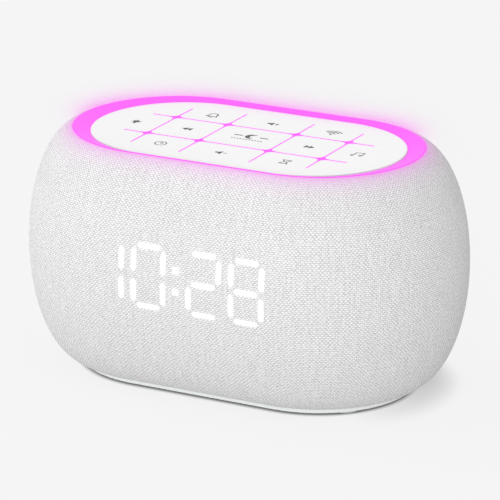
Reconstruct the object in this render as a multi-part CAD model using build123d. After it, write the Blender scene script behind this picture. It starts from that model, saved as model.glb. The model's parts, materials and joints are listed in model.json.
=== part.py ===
from build123d import *
import os
from math import asin, cos, degrees, pi, radians, sin, sqrt, tan

# A small bedside sound machine with a clock: a cloth-covered oval body, a lit ring on top and
# eleven keys inside the ring. Millimetres. X is the long axis, the clock looks along -Y, Z is up
# and Z = 0 is the table.

# ---------------------------------------------------------------- driving sizes: body
half_straight = 26.17       # half the straight stretch between the two round ends
end_radius = 33.29          # round end radius where the side meets the bottom
side_bulge = 16.86          # how far the side swells out at mid height
side_half_height = 39.83    # half the height of the half-ellipse side
foot_stand = 0.8            # how far the feet hold the base off the table
base_band = 1.35            # height of base that shows under the cloth
band_draft = 0.2            # the base's edge leans in by this at its foot
cloth_thick = 0.8
cloth_gap = 0.05            # glue line between the cloth and the shells
shell_wall = 2.2
hem_fold = 1.29             # how far the cloth is folded in under the body
mouth_inset = 0.2           # shells' bottom opening inside the cloth's folded edge

# ---------------------------------------------------------------- driving sizes: top
ring_reach = 1.56           # ring's outer edge beyond end_radius
ring_side_width = 3.36      # face of the ring along the straight sides
ring_end_extra = 2.79       # how much wider its face is at the two ends
ring_proud = 0.1            # ring edge above the cloth beside it
ring_land = 0.35            # flat rim along the ring's outer edge
ring_wall = 1.5
ring_roof = 1.5             # thickness of the ring's face at its inner edge
ring_foot = 0.75            # how far the ring's foot reaches under the shells' rim
ring_foot_height = 1.4
rim_gap = 0.25              # between the ring and the shells' top opening
cloth_rim_gap = 0.1         # between the ring and the cloth's top edge
panel_sink = 0.94           # panel top below the ring's outer edge
panel_step = 0.5            # panel top above the ring's inner edge
panel_thick = 1.6
panel_gap = 0.12            # between the panel and the ring
panel_round = 0.35
key_space = 6.2             # from the deck's top to the panel's underside
deck_thick = 2.0
deck_fit = 0.5              # between the deck's edge and the shells
deck_screw_inset = 1.8
deck_screw_x = 20.0
deck_screw_heading = 11.0   # of the two screws in the round ends, in degrees
board_thick = 1.2
board_fit = 0.25            # between the top board and the ring
baffle_wall = 1.6
baffle_inset = 0.2          # baffle wall inside the panel's edge
baffle_boss_radius = 2.3

# ---------------------------------------------------------------- driving sizes: keys
line_x_outer = 32.1         # lit lines that run front to back
line_x_inner = 12.75
line_y = 10.35              # lit lines that run left to right
line_margin = 6.89          # from the inner lines' ends to the panel's edge
line_step = 2.6             # how much shorter the outer lines are
end_key_margin = 7.37       # from an end key's root to the panel's edge
end_key_closed = 6.3        # part of an end key beyond the lit lines
slot_width = 0.5
key_corner = 1.7
key_round = 0.12            # rounding of the keys' top edges
hairline = 0.02             # parting line at a key's root and beside it
press_inset = 6.4           # from a flexing key's root to where it is pressed
tip_travel = 0.9            # how far a flexing key's free edge goes down
key_travel = 0.5            # how far a centre key goes down
root_undercut = 8.0         # degrees, so that a root face turns clear
post_radius = 1.6
guide_pin_radius = 1.0
guide_pin_fit = 0.05        # radial running fit of a guide pin
guide_pin_y = 6.5           # pins of the two side keys, from the middle
guide_pin_x = 8.0           # pins of the wide key, from the middle
guide_pin_room = 0.4        # radial room where a pin passes through the top board
press_clear = 0.2           # left under a plunger or a guide pin when pressed
switch_side = 5.0
switch_height = 1.7
plunger_radius = 1.0
plunger_room = 0.5          # radial room round a plunger, which tilts with its key
plunger_rise = 1.0          # plunger top above the switch body

# ---------------------------------------------------------------- driving sizes: top lights
guide_fit = 0.06            # between the light guide and each key
guide_sink = 0.12           # light guide's top below the keys' top
bar_width = 1.8
bar_height = 1.4
bar_clear = 0.3             # room left under a pressed key
leg_radius = 1.2
line_foot_radius = 0.9
led_side = 1.2
led_height = 0.8
led_gap = 0.1
ring_led_count = 30

# ---------------------------------------------------------------- driving sizes: display
display_x = -0.55           # middle of the clock
display_rise = 3.72         # middle of the clock above mid height
digit_centres = (-25.35, -10.05, 10.05, 25.35)
digit_half_pitch = 10.1     # from a digit's middle bar to its top and bottom bars
digit_width = 10.8          # between the middles of its upright bars
segment_width = 2.1
segment_gap = 0.8           # from a bar's tip to the corner it points at
colon_half_pitch = 3.6
colon_side = 2.6
cell_fit = 0.05
shade_half_width = 33.3
shade_half_height = 12.7
shade_recess = 0.1          # shade and segments behind the shell's outer face
window_fit = 0.3
flange_half_width = 41.5
flange_half_height = 14.5
flange_thick = 1.8
display_post = 5.3          # from the flange to the shell beside its corner
segment_depth = 2.5         # length of a segment insert inside the flange plane
display_hole_x = 38.5
display_hole_z = 11.0

# ---------------------------------------------------------------- driving sizes: speaker
speaker_deck_gap = 2.02     # from the top of the speaker's square flange to the deck
speaker_board_gap = 7.38    # from the main board to the foot of the flange
speaker_hole_inset = 4.0    # screw holes in from the flange's edges
baffle_short = 1.8          # shortest stretch of the baffle tube
speaker_flange = 1.5
gasket_thick = 0.8
baffle_reach = 2.0          # baffle tube's outer radius beyond half the flange
baffle_wall_thick = 2.9
grille_inset = 3.5
grille_slot = 2.6
grille_rows = 9
grille_row_inset = 2.8      # from the first and last row to the grille's edge
flange_corner = 5.0
plate_thick = 2.5
plate_inset = 7.5           # round parts of the speaker, in from half its flange
magnet_thick = 7.0
magnet_inset = 5.5
magnet_bore = 10.0
yoke_thick = 2.5
pole_radius = 6.25
gap_radius = 7.45           # bore of the top plate round the coil
former_inner = 6.5
former_outer = 6.8
former_length = 14.0
coil_outer = 7.2
coil_length = 7.5
cone_inset = 5.9
cone_fall = 0.5             # how far the cone drops for each millimetre inwards
cone_wall = 0.6
cap_rim = 8.3
cap_sphere = 14.1
cap_wall = 0.5
cap_clear = 0.4             # from the former's front to the dust cap
roll_inset = 4.4            # surround: place, height and thickness of its roll
roll_radius = 1.8
roll_wall = 0.5
surround_sink = 0.6         # surround's seat below the front of the flange
surround_seat_inset = 0.3
basket_reach = 0.1          # basket's bowl beyond half the flange
basket_wall = 1.2
ledge_height = 4.0          # spider's ledge in front of the top plate
ledge_drop = 1.1            # spider's ledge behind the cone's neck
spider_inset = 6.1
spider_waves = 8
spider_swell = 0.35
spider_wall = 0.4

# ---------------------------------------------------------------- driving sizes: base and power
base_floor = 2.2
base_lip_width = 2.0
base_lip_top = 5.0
lip_gap = 0.2               # between the base's lip and the shells' mouth
foot_radius = 5.0
foot_inset = 0.3
foot_fit = 0.1
foot_place_inset = 4.3      # feet and base screws in from the shells' mouth
base_screw_inset = 3.8
base_screw_x = 20.0
base_screw_heading = 15.0
base_column = 3.6
ear_radius = 3.5
ear_height = 7.0
standoff_x = 32.5
standoff_y = 20.0
standoff_top = 9.0
main_board_x = 72.0
main_board_y = 47.0
main_board_thick = 1.6
tab_width = 18.0
tab_gap = 0.7               # between the board's tab and the port bezel
well_x = -34.0              # battery well
door_radius = 12.0
door_fit = 0.2
door_thick = 1.9
door_sink = 0.1
lug_reach = 1.4
lug_thick = 0.8
lug_angle = 24.0
lug_play = 0.1
door_turn = 35.0
door_slot = (14.0, 1.8, 0.8)
cell_radius = 10.0
cell_height = 3.2
cell_round = 0.4
collar_room = 0.35          # round the coin cell, inside its collar
collar_wall = 1.15
contact_thick = 0.3
contact_half_width = 2.0
contact_lift = 1.4          # from the coin cell's top to the well's roof
well_wall = 1.2
well_roof_thick = 1.0
port_width = 12.6           # recess that a plug's grip goes into
port_height = 7.0
port_wall = 1.2
port_flange = 1.6
port_proud = 0.6
port_fit = 0.2
port_depth = 5.1            # from the cloth to the socket's mouth
socket_width = 8.94
socket_height = 3.26
socket_length = 7.35
socket_wall = 0.3
connector_height = 2.5
key_connector_x = 29.0
key_ribbon_x = 47.0
key_ribbon_width = 10.0
display_ribbon_x = -8.0
display_ribbon_width = 12.0
display_connector_y = -19.0
speaker_connector_y = 12.0
ribbon_thick = 0.5
ribbon_room = 1.0           # round a ribbon where it passes through the deck
ribbon_drop = 9.0           # display ribbon's start below the clock's middle
ribbon_bow = 6.0            # how far it stands off its board
terminal_x = 14.2
lead_spacing = 2.8
lead_radius = 0.7

# ---------------------------------------------------------------- driving sizes: screws
screw_radius = 1.05
screw_length = 6.0
screw_head_radius = 2.0
screw_head = 1.4
screw_hole = 1.3
pilot_radius = 1.1
boss_radius = 2.5
boss_clear = 0.3            # round a boss that passes the ring's foot
base_screw_shank = 1.3
base_screw_length = 7.8
base_screw_head = 2.4
base_screw_head_height = 1.7
base_screw_sink = 0.2       # head below the base's face
base_screw_fit = 0.2
pilot_spare = 0.5           # pilot hole beyond the screw's tip
ear_arm = 14.0
ear_roof = 1.0

# ---------------------------------------------------------------- heights worked out
base_bottom = foot_stand
cloth_bottom = base_bottom + base_band
side_mid = cloth_bottom + side_half_height
shell_inset = cloth_thick + cloth_gap
shell_inner = shell_inset + shell_wall
shell_bottom = cloth_bottom + shell_inset
flange_top = shell_bottom + shell_wall
hem_radius = end_radius - hem_fold
shell_mouth = hem_radius - mouth_inset
ring_radius = end_radius + ring_reach
skirt_radius = ring_radius - ring_wall
panel_radius = ring_radius - ring_side_width
panel_half_straight = half_straight - ring_end_extra
inner_line_end = panel_radius - line_margin
outer_line_end = inner_line_end - line_step
end_key_root = panel_half_straight + panel_radius - end_key_margin
long_line_end = end_key_root - end_key_closed


def side_radius(height, inset):
    """Radius of the side at a height, taken in by inset."""
    share = (height - side_mid) / (side_half_height - inset)
    return end_radius + (side_bulge - inset) * sqrt(1 - share ** 2)


def roof_height(radius, inset):
    """Height of the upper side at a radius, taken in by inset."""
    share = (radius - end_radius) / (side_bulge - inset)
    return side_mid + (side_half_height - inset) * sqrt(1 - share ** 2)


ring_top = roof_height(ring_radius, 0) + ring_proud
panel_top = ring_top - panel_sink
panel_bottom = panel_top - panel_thick
ring_inner_edge = panel_top - panel_step
deck_top = panel_bottom - key_space
deck_bottom = deck_top - deck_thick
board_top = deck_top + board_thick
switch_top = board_top + switch_height
plunger_top = switch_top + plunger_rise
bar_top = panel_bottom - tip_travel - bar_clear
bar_bottom = bar_top - bar_height
deck_pilot_end = deck_bottom + screw_length + pilot_spare
deck_radius = side_radius(deck_top, shell_inner) - deck_fit
top_board_radius = skirt_radius - board_fit
base_top = base_bottom + base_floor
base_screw_seat = base_bottom + base_screw_sink + base_screw_head_height
main_board_top = standoff_top + main_board_thick
display_height = side_mid + display_rise
flange_front = side_radius(display_height + flange_half_height, shell_inner) - display_post
shade_inset = shell_inset + shade_recess
speaker_high = deck_bottom - speaker_deck_gap
speaker_low = main_board_top + speaker_board_gap
speaker_side = speaker_high - speaker_low
speaker_half = speaker_side / 2
speaker_axis = speaker_low + speaker_half
speaker_hole = speaker_half - speaker_hole_inset
baffle_outer = speaker_half + baffle_reach
baffle_inner = baffle_outer - baffle_wall_thick
grille_radius = speaker_half - grille_inset
grille_pitch = 2 * (grille_radius - grille_row_inset) / (grille_rows - 1)
plate_radius = speaker_half - plate_inset
magnet_radius = speaker_half - magnet_inset
cone_rim = speaker_half - cone_inset
cone_depth = (cone_rim - former_outer) * cone_fall
roll_middle = speaker_half - roll_inset
surround_seat_radius = speaker_half - surround_seat_inset
basket_bowl = speaker_half + basket_reach
spider_outer = speaker_half - spider_inset
speaker_face = side_radius(speaker_high, shell_inner) - gasket_thick - baffle_short
gasket_back = speaker_face + gasket_thick
flange_back = speaker_face - speaker_flange
surround_seat = speaker_face - surround_sink
cone_rim_y = surround_seat - cone_wall - 0.3
cone_neck_y = cone_rim_y - cone_depth
ledge_y = cone_neck_y - ledge_drop
plate_front = ledge_y - ledge_height
plate_back = plate_front - plate_thick
magnet_back = plate_back - magnet_thick
yoke_back = magnet_back - yoke_thick
former_back = cone_neck_y + 1.8 - former_length
display_board_front = -flange_front + flange_thick
display_board_back = display_board_front + board_thick
door_low = base_bottom + door_sink
door_inner_face = door_low + door_thick
cell_top = door_inner_face + cell_height
well_roof = cell_top + contact_lift
well_top = well_roof + well_roof_thick
well_radius = door_radius + door_fit + lug_reach + press_clear
lip_roof = door_low + 1.0
connector_mid = main_board_top + connector_height / 2
port_height_up = main_board_top + socket_height / 2
port_face = side_radius(port_height_up, 0) - port_depth


# ---------------------------------------------------------------- shape helpers
def stadium(straight, radius):
    """Flat stadium, long along X."""
    return SlotCenterToCenter(2 * straight, 2 * radius)


def slab(outline, low, high):
    """A flat outline carried straight up from one height to another."""
    return Pos(0, 0, low) * extrude(outline, high - low, dir=(0, 0, 1))


def block(x, y, z):
    """Box between pairs of limits."""
    centre = Pos((x[0] + x[1]) / 2, (y[0] + y[1]) / 2, (z[0] + z[1]) / 2)
    return centre * Box(x[1] - x[0], y[1] - y[0], z[1] - z[0])


def drum(radius, low, high):
    """Upright cylinder on the Z axis between two heights."""
    return Pos(0, 0, (low + high) / 2) * Cylinder(radius, high - low)


def rod(radius, near, far):
    """Cylinder along Y through the origin's X and Z, between two Y values."""
    return Pos(0, (near + far) / 2, 0) * Rot(90, 0, 0) * Cylinder(radius, far - near)


def facing(outline, near, far):
    """An outline drawn as seen from the front, carried along Y from near to far."""
    start = Plane(origin=(0, far, 0), x_dir=(1, 0, 0), z_dir=(0, -1, 0))
    return extrude(start * outline, far - near, dir=(0, -1, 0))


def carried(*edges):
    """Carry a closed outline of (distance out, height) once round the body's stadium."""
    spine_end = Plane(origin=(half_straight, 0, 0), x_dir=(0, -1, 0), z_dir=(-1, 0, 0))
    outline = spine_end * make_face(edges)
    right = revolve(outline, Axis((half_straight, 0, 0), (0, 0, 1)), 180)
    front = extrude(outline, 2 * half_straight)
    return right + mirror(right, Plane.YZ) + front + mirror(front, Plane.XZ)


def barrel(inset):
    """Everything inside the cloth's outer surface, taken in by inset."""
    bulge = side_bulge - inset
    half_height = side_half_height - inset
    low = side_mid - half_height
    high = side_mid + half_height
    return carried(
        EllipticalCenterArc((end_radius, side_mid), bulge, half_height, start_angle=-90, arc_size=180),
        Polyline((end_radius, high), (0, high), (0, low), (end_radius, low)),
    )


def turned(*edges):
    """Revolve a closed outline of (radius, Y) about the speaker's axis."""
    return Pos(0, 0, speaker_axis) * revolve(make_face(edges), Axis.Y)


def turned_polygon(*points):
    """Revolve a polygon of (radius, Y) about the speaker's axis."""
    return turned(Polyline(*points, close=True))


def end_spot(straight, radius, heading):
    """Place on a round end, with local X pointing outwards along heading degrees."""
    side = 1 if cos(radians(heading)) > 0 else -1
    x = side * straight + radius * cos(radians(heading))
    return Pos(x, radius * sin(radians(heading)), 0) * Rot(0, 0, heading)


def side_spot(x, radius, side):
    """Place on a straight side, with local X pointing outwards."""
    return Pos(x, side * radius, 0) * Rot(0, 0, 90 * side)


def round_spots(straight, radius, count):
    """Evenly spaced places all the way round a stadium."""
    straight_run = 2 * straight
    end_run = pi * radius
    spots = []
    for index in range(count):
        along = (index + 0.5) / count * 2 * (straight_run + end_run)
        side = 1
        if along >= straight_run + end_run:
            along -= straight_run + end_run
            side = -1
        if along < straight_run:
            spots.append(side_spot(side * (straight - along), radius, side))
        else:
            turn = degrees((along - straight_run) / radius)
            spots.append(end_spot(straight, radius, 90 * side + turn))
    return spots


def quarters(x, y):
    """Four places mirrored about both middle planes."""
    return [Pos(side_x * x, side_y * y, 0) for side_x in (-1, 1) for side_y in (-1, 1)]


def split(solid):
    """Front and rear parts of a solid, either side of the Y = 0 plane."""
    reach = 4 * half_straight
    front = block((-reach, reach), (-reach, 0), (-reach, reach))
    rear = block((-reach, reach), (0, reach), (-reach, reach))
    return solid & front, solid & rear


def screw(head_radius, head, shank_radius, shank):
    """Screw with its head below Z = 0 and its shank pointing up."""
    return drum(head_radius, -head, 0) + drum(shank_radius, 0, shank)


def inner_screw():
    """The self-tapping screw used all through the inside."""
    return screw(screw_head_radius, screw_head, screw_radius, screw_length)


def save(name, *solids):
    """Write one named node, of one solid or a group of separate ones."""
    shape = solids[0] if len(solids) == 1 else Compound(children=list(solids))
    export_step(shape, "parts/" + name + ".step")


# ---------------------------------------------------------------- places shared by several pieces
deck_screw_radius = deck_radius - deck_screw_inset
deck_spots = [
    side_spot(x, deck_screw_radius, side) for x in (-deck_screw_x, deck_screw_x) for side in (-1, 1)
]
deck_spots += [
    end_spot(half_straight, deck_screw_radius, heading)
    for heading in (deck_screw_heading, deck_screw_heading - 180)
]
base_screw_radius = shell_mouth - base_screw_inset
base_spots = [
    side_spot(x, base_screw_radius, side) for x in (-base_screw_x, base_screw_x) for side in (-1, 1)
]
base_spots += [
    end_spot(half_straight, base_screw_radius, heading)
    for heading in (base_screw_heading, base_screw_heading - 180)
]
baffle_outer_radius = panel_radius - baffle_inset
baffle_inner_radius = baffle_outer_radius - baffle_wall
baffle_spot_radius = baffle_inner_radius - baffle_boss_radius + 0.2
baffle_spots = [side_spot(0, baffle_spot_radius, side) for side in (-1, 1)]
baffle_spots += [
    end_spot(panel_half_straight, baffle_spot_radius, heading) for heading in (45, 135, -45, -135)
]
display_spots = [
    Pos(display_x + x * display_hole_x, 0, display_height + z * display_hole_z)
    for x in (-1, 1) for z in (-1, 1)
]
speaker_spots = [
    Pos(x * speaker_hole, 0, speaker_axis + z * speaker_hole) for x in (-1, 1) for z in (-1, 1)
]
port_centre = Pos(0, 0, port_height_up)
foot_spots = [
    end_spot(half_straight, shell_mouth - foot_place_inset, heading) for heading in (45, 135, -45, -135)
]


# ---------------------------------------------------------------- keys
class Key:
    """One key: its flat limits, the side its root is on, and where it is pressed."""

    def __init__(self, x, y, root, press):
        half_slot = slot_width / 2
        self.x = (x[0] + (0 if root == "left" else half_slot), x[1] - (0 if root == "right" else half_slot))
        self.y = (y[0] + (0 if root == "front" else half_slot), y[1] - (0 if root == "back" else half_slot))
        self.root = root
        self.press = press


column_x = (line_x_outer + line_x_inner) / 2
left_column = (-line_x_outer, -line_x_inner)
middle_column = (-line_x_inner, line_x_inner)
right_column = (line_x_inner, line_x_outer)
middle_row = (-line_y, line_y)
outer_press = outer_line_end - press_inset + line_step
inner_press = inner_line_end - press_inset
press_end = end_key_root - press_inset
keys = {
    "alarm": Key(left_column, (line_y, outer_line_end), "back", (-column_x, outer_press)),
    "volume_up": Key(middle_column, (line_y, inner_line_end), "back", (0, inner_press)),
    "wireless": Key(right_column, (line_y, outer_line_end), "back", (column_x, outer_press)),
    "light": Key((-end_key_root, -line_x_outer), middle_row, "left", (-press_end, 0)),
    "previous": Key(left_column, middle_row, None, (-column_x, 0)),
    "snooze": Key(middle_column, middle_row, None, (0, 0)),
    "next": Key(right_column, middle_row, None, (column_x, 0)),
    "music": Key((line_x_outer, end_key_root), middle_row, "right", (press_end, 0)),
    "clock": Key(left_column, (-outer_line_end, -line_y), "front", (-column_x, -outer_press)),
    "volume_down": Key(middle_column, (-inner_line_end, -line_y), "front", (0, -inner_press)),
    "timer": Key(right_column, (-outer_line_end, -line_y), "front", (column_x, -outer_press)),
}
guide_pin_places = [(x, y) for x in (-column_x, column_x) for y in (-guide_pin_y, guide_pin_y)]
guide_pin_places += [(-guide_pin_x, 0), (guide_pin_x, 0)]
line_crossings = [(x, y) for x in (-line_x_outer, -line_x_inner, line_x_inner, line_x_outer)
                  for y in (-line_y, line_y)]
line_ends = [(side * long_line_end, y) for side in (-1, 1) for y in (-line_y, line_y)]
line_ends += [(x, side * inner_line_end) for x in (-line_x_inner, line_x_inner) for side in (-1, 1)]
line_ends += [(x, side * outer_line_end) for x in (-line_x_outer, line_x_outer) for side in (-1, 1)]


def line_pattern(width, shorten):
    """The six crossing lines, as flat strips of one width."""
    strips = Sketch()
    for x, reach in ((line_x_outer, outer_line_end), (line_x_inner, inner_line_end)):
        for side in (-1, 1):
            strips += Pos(side * x, 0) * Rectangle(width, 2 * (reach - shorten))
    for side in (-1, 1):
        strips += Pos(0, side * line_y) * Rectangle(2 * (long_line_end - shorten), width)
    return strips


def star_pattern(fit):
    """The four-pointed stars left where rounded key corners meet, drawn in by fit."""
    reach = key_corner + slot_width / 2
    corners = [Pos(x * reach, y * reach) * Circle(key_corner + fit) for x in (-1, 1) for y in (-1, 1)]
    star = Rectangle(2 * reach, 2 * reach) - corners
    return Sketch() + [Pos(x, y) * star for x, y in line_crossings]


def key_rectangle(key, grow):
    """A key's limits as a flat rectangle, grown all round."""
    width = key.x[1] - key.x[0] + 2 * grow
    depth = key.y[1] - key.y[0] + 2 * grow
    return Pos(sum(key.x) / 2, sum(key.y) / 2) * Rectangle(width, depth)


def root_wedge(key):
    """The wedge taken off under a key's root, so that its root face can turn."""
    cut = panel_thick * tan(radians(root_undercut))
    out = {"back": key.y[1], "front": -key.y[0], "left": -key.x[0], "right": key.x[1]}[key.root]
    turn = {"back": 90, "front": -90, "left": 180, "right": 0}[key.root]
    wedge = make_face(Polyline((out, panel_top), (out, panel_bottom), (out - cut, panel_bottom), close=True))
    return Rot(0, 0, turn) * extrude(Plane.XZ * wedge, end_key_root, both=True)


def top_edges(solid, key):
    """A key's top edges, apart from the one along its root."""
    edges = solid.edges().group_by(Axis.Z)[-1]
    if key.root is None:
        return edges
    axis = Axis.Y if key.root in ("back", "front") else Axis.X
    ordered = edges.sort_by(axis)
    return ordered[:-1] if key.root in ("back", "right") else ordered[1:]


def key_cap(name):
    """Key plate with a post that stands on its switch plunger."""
    key = keys[name]
    plate = slab(key_rectangle(key, 0) - star_pattern(0), panel_bottom, panel_top)
    plate = fillet(top_edges(plate, key), key_round)
    if key.root:
        plate -= root_wedge(key)
    plate += Pos(*key.press, 0) * drum(post_radius, plunger_top, panel_bottom)
    if key.root is None:
        pin_bottom = deck_bottom + key_travel + press_clear
        for x, y in guide_pin_places:
            if key.x[0] < x < key.x[1]:
                plate += Pos(x, y) * drum(guide_pin_radius, pin_bottom, panel_bottom)
    return plate


def switch_plunger(name):
    """Small plunger under a key's post, part way down in its switch."""
    return Pos(*keys[name].press, 0) * drum(plunger_radius, board_top + key_travel + press_clear, plunger_top)


def switch_body(name):
    """Square switch body with an open well for its plunger."""
    body = Pos(0, 0, board_top + switch_height / 2) * Box(switch_side, switch_side, switch_height)
    body -= drum(plunger_radius + plunger_room, board_top, switch_top)
    return Pos(*keys[name].press, 0) * body


def key_panel():
    """White plate round the keys, with a rounded rim."""
    outline = stadium(panel_half_straight, panel_radius) - line_pattern(slot_width, 0) - star_pattern(0)
    for key in keys.values():
        outline -= key_rectangle(key, hairline)
    plate = slab(outline, panel_bottom, panel_top)
    rim = plate.edges().group_by(Axis.Z)[-1].filter_by(
        lambda edge: edge.bounding_box().size.X > 1.9 * panel_half_straight
        or edge.bounding_box().size.Y > 1.9 * panel_radius)
    return fillet(rim, panel_round)


def grid_light_guide():
    """Clear lattice whose thin ribs fill the gaps between the keys, on legs over the LEDs."""
    ribs = line_pattern(slot_width - 2 * guide_fit, guide_fit) + star_pattern(guide_fit)
    guide = slab(ribs, bar_top, panel_top - guide_sink)
    guide += slab(line_pattern(bar_width, guide_fit), bar_bottom, bar_top)
    for x, y in line_crossings:
        guide += Pos(x, y) * drum(leg_radius, board_top + led_height + led_gap, bar_bottom)
    for x, y in line_ends:
        inward = 1 - 2 * line_foot_radius / max(abs(x), abs(y))
        place = (x * inward, y) if abs(x) == long_line_end else (x, y * inward)
        guide += Pos(*place) * drum(line_foot_radius, board_top, bar_bottom)
    return guide


# ---------------------------------------------------------------- top pieces
def light_ring():
    """Clear ring with a face that slopes in to the panel, a skirt and a foot."""
    inner = stadium(panel_half_straight, panel_radius + panel_gap)
    ring = slab(stadium(half_straight, ring_radius), deck_top, ring_top)
    ring += slab(stadium(half_straight, ring_radius + ring_foot), deck_top, deck_top + ring_foot_height)
    for spot in deck_spots:
        ring -= spot * drum(boss_radius + boss_clear, deck_top, deck_top + ring_foot_height)
    ring -= slab(stadium(half_straight, skirt_radius), deck_top, ring_inner_edge - ring_roof)
    ring -= slab(inner, deck_top, ring_top)
    rim = Pos(0, 0, ring_top) * stadium(half_straight, ring_radius - ring_land)
    ring -= loft([Pos(0, 0, ring_inner_edge) * inner, rim])
    outer_edges = ring.edges().group_by(Axis.Z)[-1].filter_by(
        lambda edge: edge.bounding_box().size.Y > 2 * ring_radius - 0.1
        or abs(edge.center().Y) > ring_radius - 0.1)
    return fillet(outer_edges, ring_land * 0.8)


def top_deck():
    """Flat deck under the top, screwed up into the shells."""
    deck = slab(stadium(half_straight, deck_radius), deck_bottom, deck_top)
    for spot in deck_spots + baffle_spots:
        deck -= spot * drum(screw_hole, deck_bottom, deck_top)
    for x, y in guide_pin_places:
        deck -= Pos(x, y) * drum(guide_pin_radius + guide_pin_fit, deck_bottom, deck_top)
    ribbon_slot = Rectangle(ribbon_thick + 2 * ribbon_room, key_ribbon_width + 2 * ribbon_room)
    return deck - Pos(key_ribbon_x, 0) * slab(ribbon_slot, deck_bottom, deck_top)


def top_board():
    """Circuit board that carries the key switches and the top lights."""
    board = slab(stadium(half_straight, top_board_radius), deck_top, board_top)
    for spot in baffle_spots:
        board -= spot * drum(screw_hole, deck_top, board_top)
    for x, y in guide_pin_places:
        board -= Pos(x, y) * drum(guide_pin_radius + guide_pin_room, deck_top, board_top)
    return board


def top_leds():
    """Small square LEDs round the ring and under each crossing of the lit lines."""
    led = Pos(0, 0, board_top + led_height / 2) * Box(led_side, led_side, led_height)
    led_straight = (panel_half_straight + half_straight) / 2
    led_radius = (baffle_outer_radius + skirt_radius) / 2
    ring = [spot * led for spot in round_spots(led_straight, led_radius, ring_led_count)]
    return ring + [Pos(x, y) * led for x, y in line_crossings]


def light_baffle():
    """Dark wall that holds the panel up and keeps the ring's light off the keys."""
    wall = stadium(panel_half_straight, baffle_outer_radius)
    wall -= stadium(panel_half_straight, baffle_inner_radius)
    baffle = slab(wall, board_top, panel_bottom)
    for spot in baffle_spots:
        baffle += spot * drum(baffle_boss_radius, board_top, panel_bottom)
    for spot in baffle_spots:
        baffle -= spot * drum(pilot_radius, board_top, deck_pilot_end)
    return baffle


# ---------------------------------------------------------------- body pieces
def fabric_sleeve():
    """Cloth over the shells, folded in under the body and cut round the power port."""
    cloth = barrel(0) - barrel(cloth_thick)
    cloth -= slab(stadium(half_straight, ring_radius + cloth_rim_gap), side_mid, 3 * side_mid)
    cloth -= slab(stadium(half_straight, hem_radius), 0, side_mid)
    return cloth - port_opening(cloth_gap)


def port_opening(fit):
    """Straight way through the rear wall for the port bezel."""
    outline = RectangleRounded(
        port_width + 2 * (port_wall + fit), port_height + 2 * (port_wall + fit), port_height / 2)
    return port_centre * facing(outline, port_face - 2, 2 * end_radius)


def shell_screw_ears():
    """Ears inside the shells' foot that the base screws go up into."""
    ears = []
    for spot in base_spots:
        column = drum(ear_radius, flange_top, flange_top + ear_height)
        arm = block((0, ear_arm), (-ear_radius, ear_radius), (flange_top, flange_top + ear_height))
        ears.append(spot * (column + arm))
    return ears


def shells():
    """Front and rear moulded shells, with their bosses, window, grille and port hole."""
    wall_middle = barrel((shell_inset + shell_inner) / 2)
    shell = barrel(shell_inset) - barrel(shell_inner)
    shell -= slab(stadium(half_straight, ring_radius + rim_gap), side_mid, 3 * side_mid)
    shell -= slab(stadium(half_straight, shell_mouth), 0, side_mid)
    inside = shell_screw_ears()
    inside += [spot * drum(boss_radius, deck_top, ring_top) for spot in deck_spots]
    inside += [spot * rod(boss_radius, -2 * flange_front, -flange_front) for spot in display_spots]
    inside += [spot * rod(boss_radius + 0.5, gasket_back, 2 * gasket_back) for spot in speaker_spots]
    tube = rod(baffle_outer, gasket_back, 2 * gasket_back) - rod(baffle_inner, 0, 3 * gasket_back)
    inside.append(Pos(0, 0, speaker_axis) * tube)
    shell += [piece & wall_middle for piece in inside]
    for spot in base_spots:
        shell -= spot * drum(base_screw_shank + 0.05, flange_top, flange_top + ear_height - ear_roof)
    for spot in deck_spots:
        shell -= spot * drum(pilot_radius, deck_top, deck_pilot_end)
    for spot in display_spots:
        shell -= spot * rod(pilot_radius, display_board_back - screw_length - pilot_spare, -flange_front)
    for spot in speaker_spots:
        shell -= spot * rod(pilot_radius, gasket_back, flange_back + screw_length + pilot_spare)
    window = Rectangle(2 * (shade_half_width + window_fit), 2 * (shade_half_height + window_fit))
    shell -= Pos(display_x, 0, display_height) * facing(window, -2 * end_radius, -flange_front - 0.5)
    for row in range(grille_rows):
        rise = (row - (grille_rows - 1) / 2) * grille_pitch
        width = 2 * sqrt(grille_radius ** 2 - rise ** 2)
        slot = SlotOverall(width, grille_slot)
        shell -= Pos(0, 0, speaker_axis + rise) * facing(slot, gasket_back + 1, 2 * end_radius)
    return split(shell - port_opening(port_fit))


def base_plate():
    """Bottom plate with a lip inside the shells, screw columns, stand-offs and the battery well."""
    band_radius = end_radius - band_draft
    lip_outer = shell_mouth - lip_gap
    base = carried(Polyline((0, base_bottom), (band_radius, base_bottom), (end_radius, cloth_bottom),
                            (0, cloth_bottom), close=True))
    base += slab(stadium(half_straight, lip_outer), base_bottom, base_lip_top)
    base -= slab(stadium(half_straight, lip_outer - base_lip_width), base_top, base_lip_top)
    for spot in base_spots:
        base += spot * drum(base_column, base_bottom, flange_top)
    for spot in quarters(standoff_x, standoff_y):
        base += spot * drum(boss_radius, base_bottom, standoff_top)
    base += Pos(well_x, 0) * battery_well()
    for spot in base_spots:
        base -= spot * drum(base_screw_head + base_screw_fit, base_bottom, base_screw_seat)
        base -= spot * drum(base_screw_shank + base_screw_fit, base_bottom, flange_top)
    for spot in quarters(standoff_x, standoff_y):
        base -= spot * drum(pilot_radius, main_board_top - screw_length - pilot_spare, standoff_top)
    for spot in foot_spots:
        base -= spot * drum(foot_radius + foot_fit, base_bottom, base_bottom + foot_inset)
    return base - Pos(well_x, 0) * door_way()


def battery_well():
    """Cup over the coin cell, with a ring inside that keeps the cell in the middle."""
    cup = drum(well_radius + well_wall, base_bottom, well_top)
    cup -= drum(well_radius, base_bottom, well_roof)
    collar_inner = cell_radius + collar_room
    collar = drum(collar_inner + collar_wall, base_top, well_roof) - drum(collar_inner, base_top, well_roof)
    return cup + collar


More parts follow.
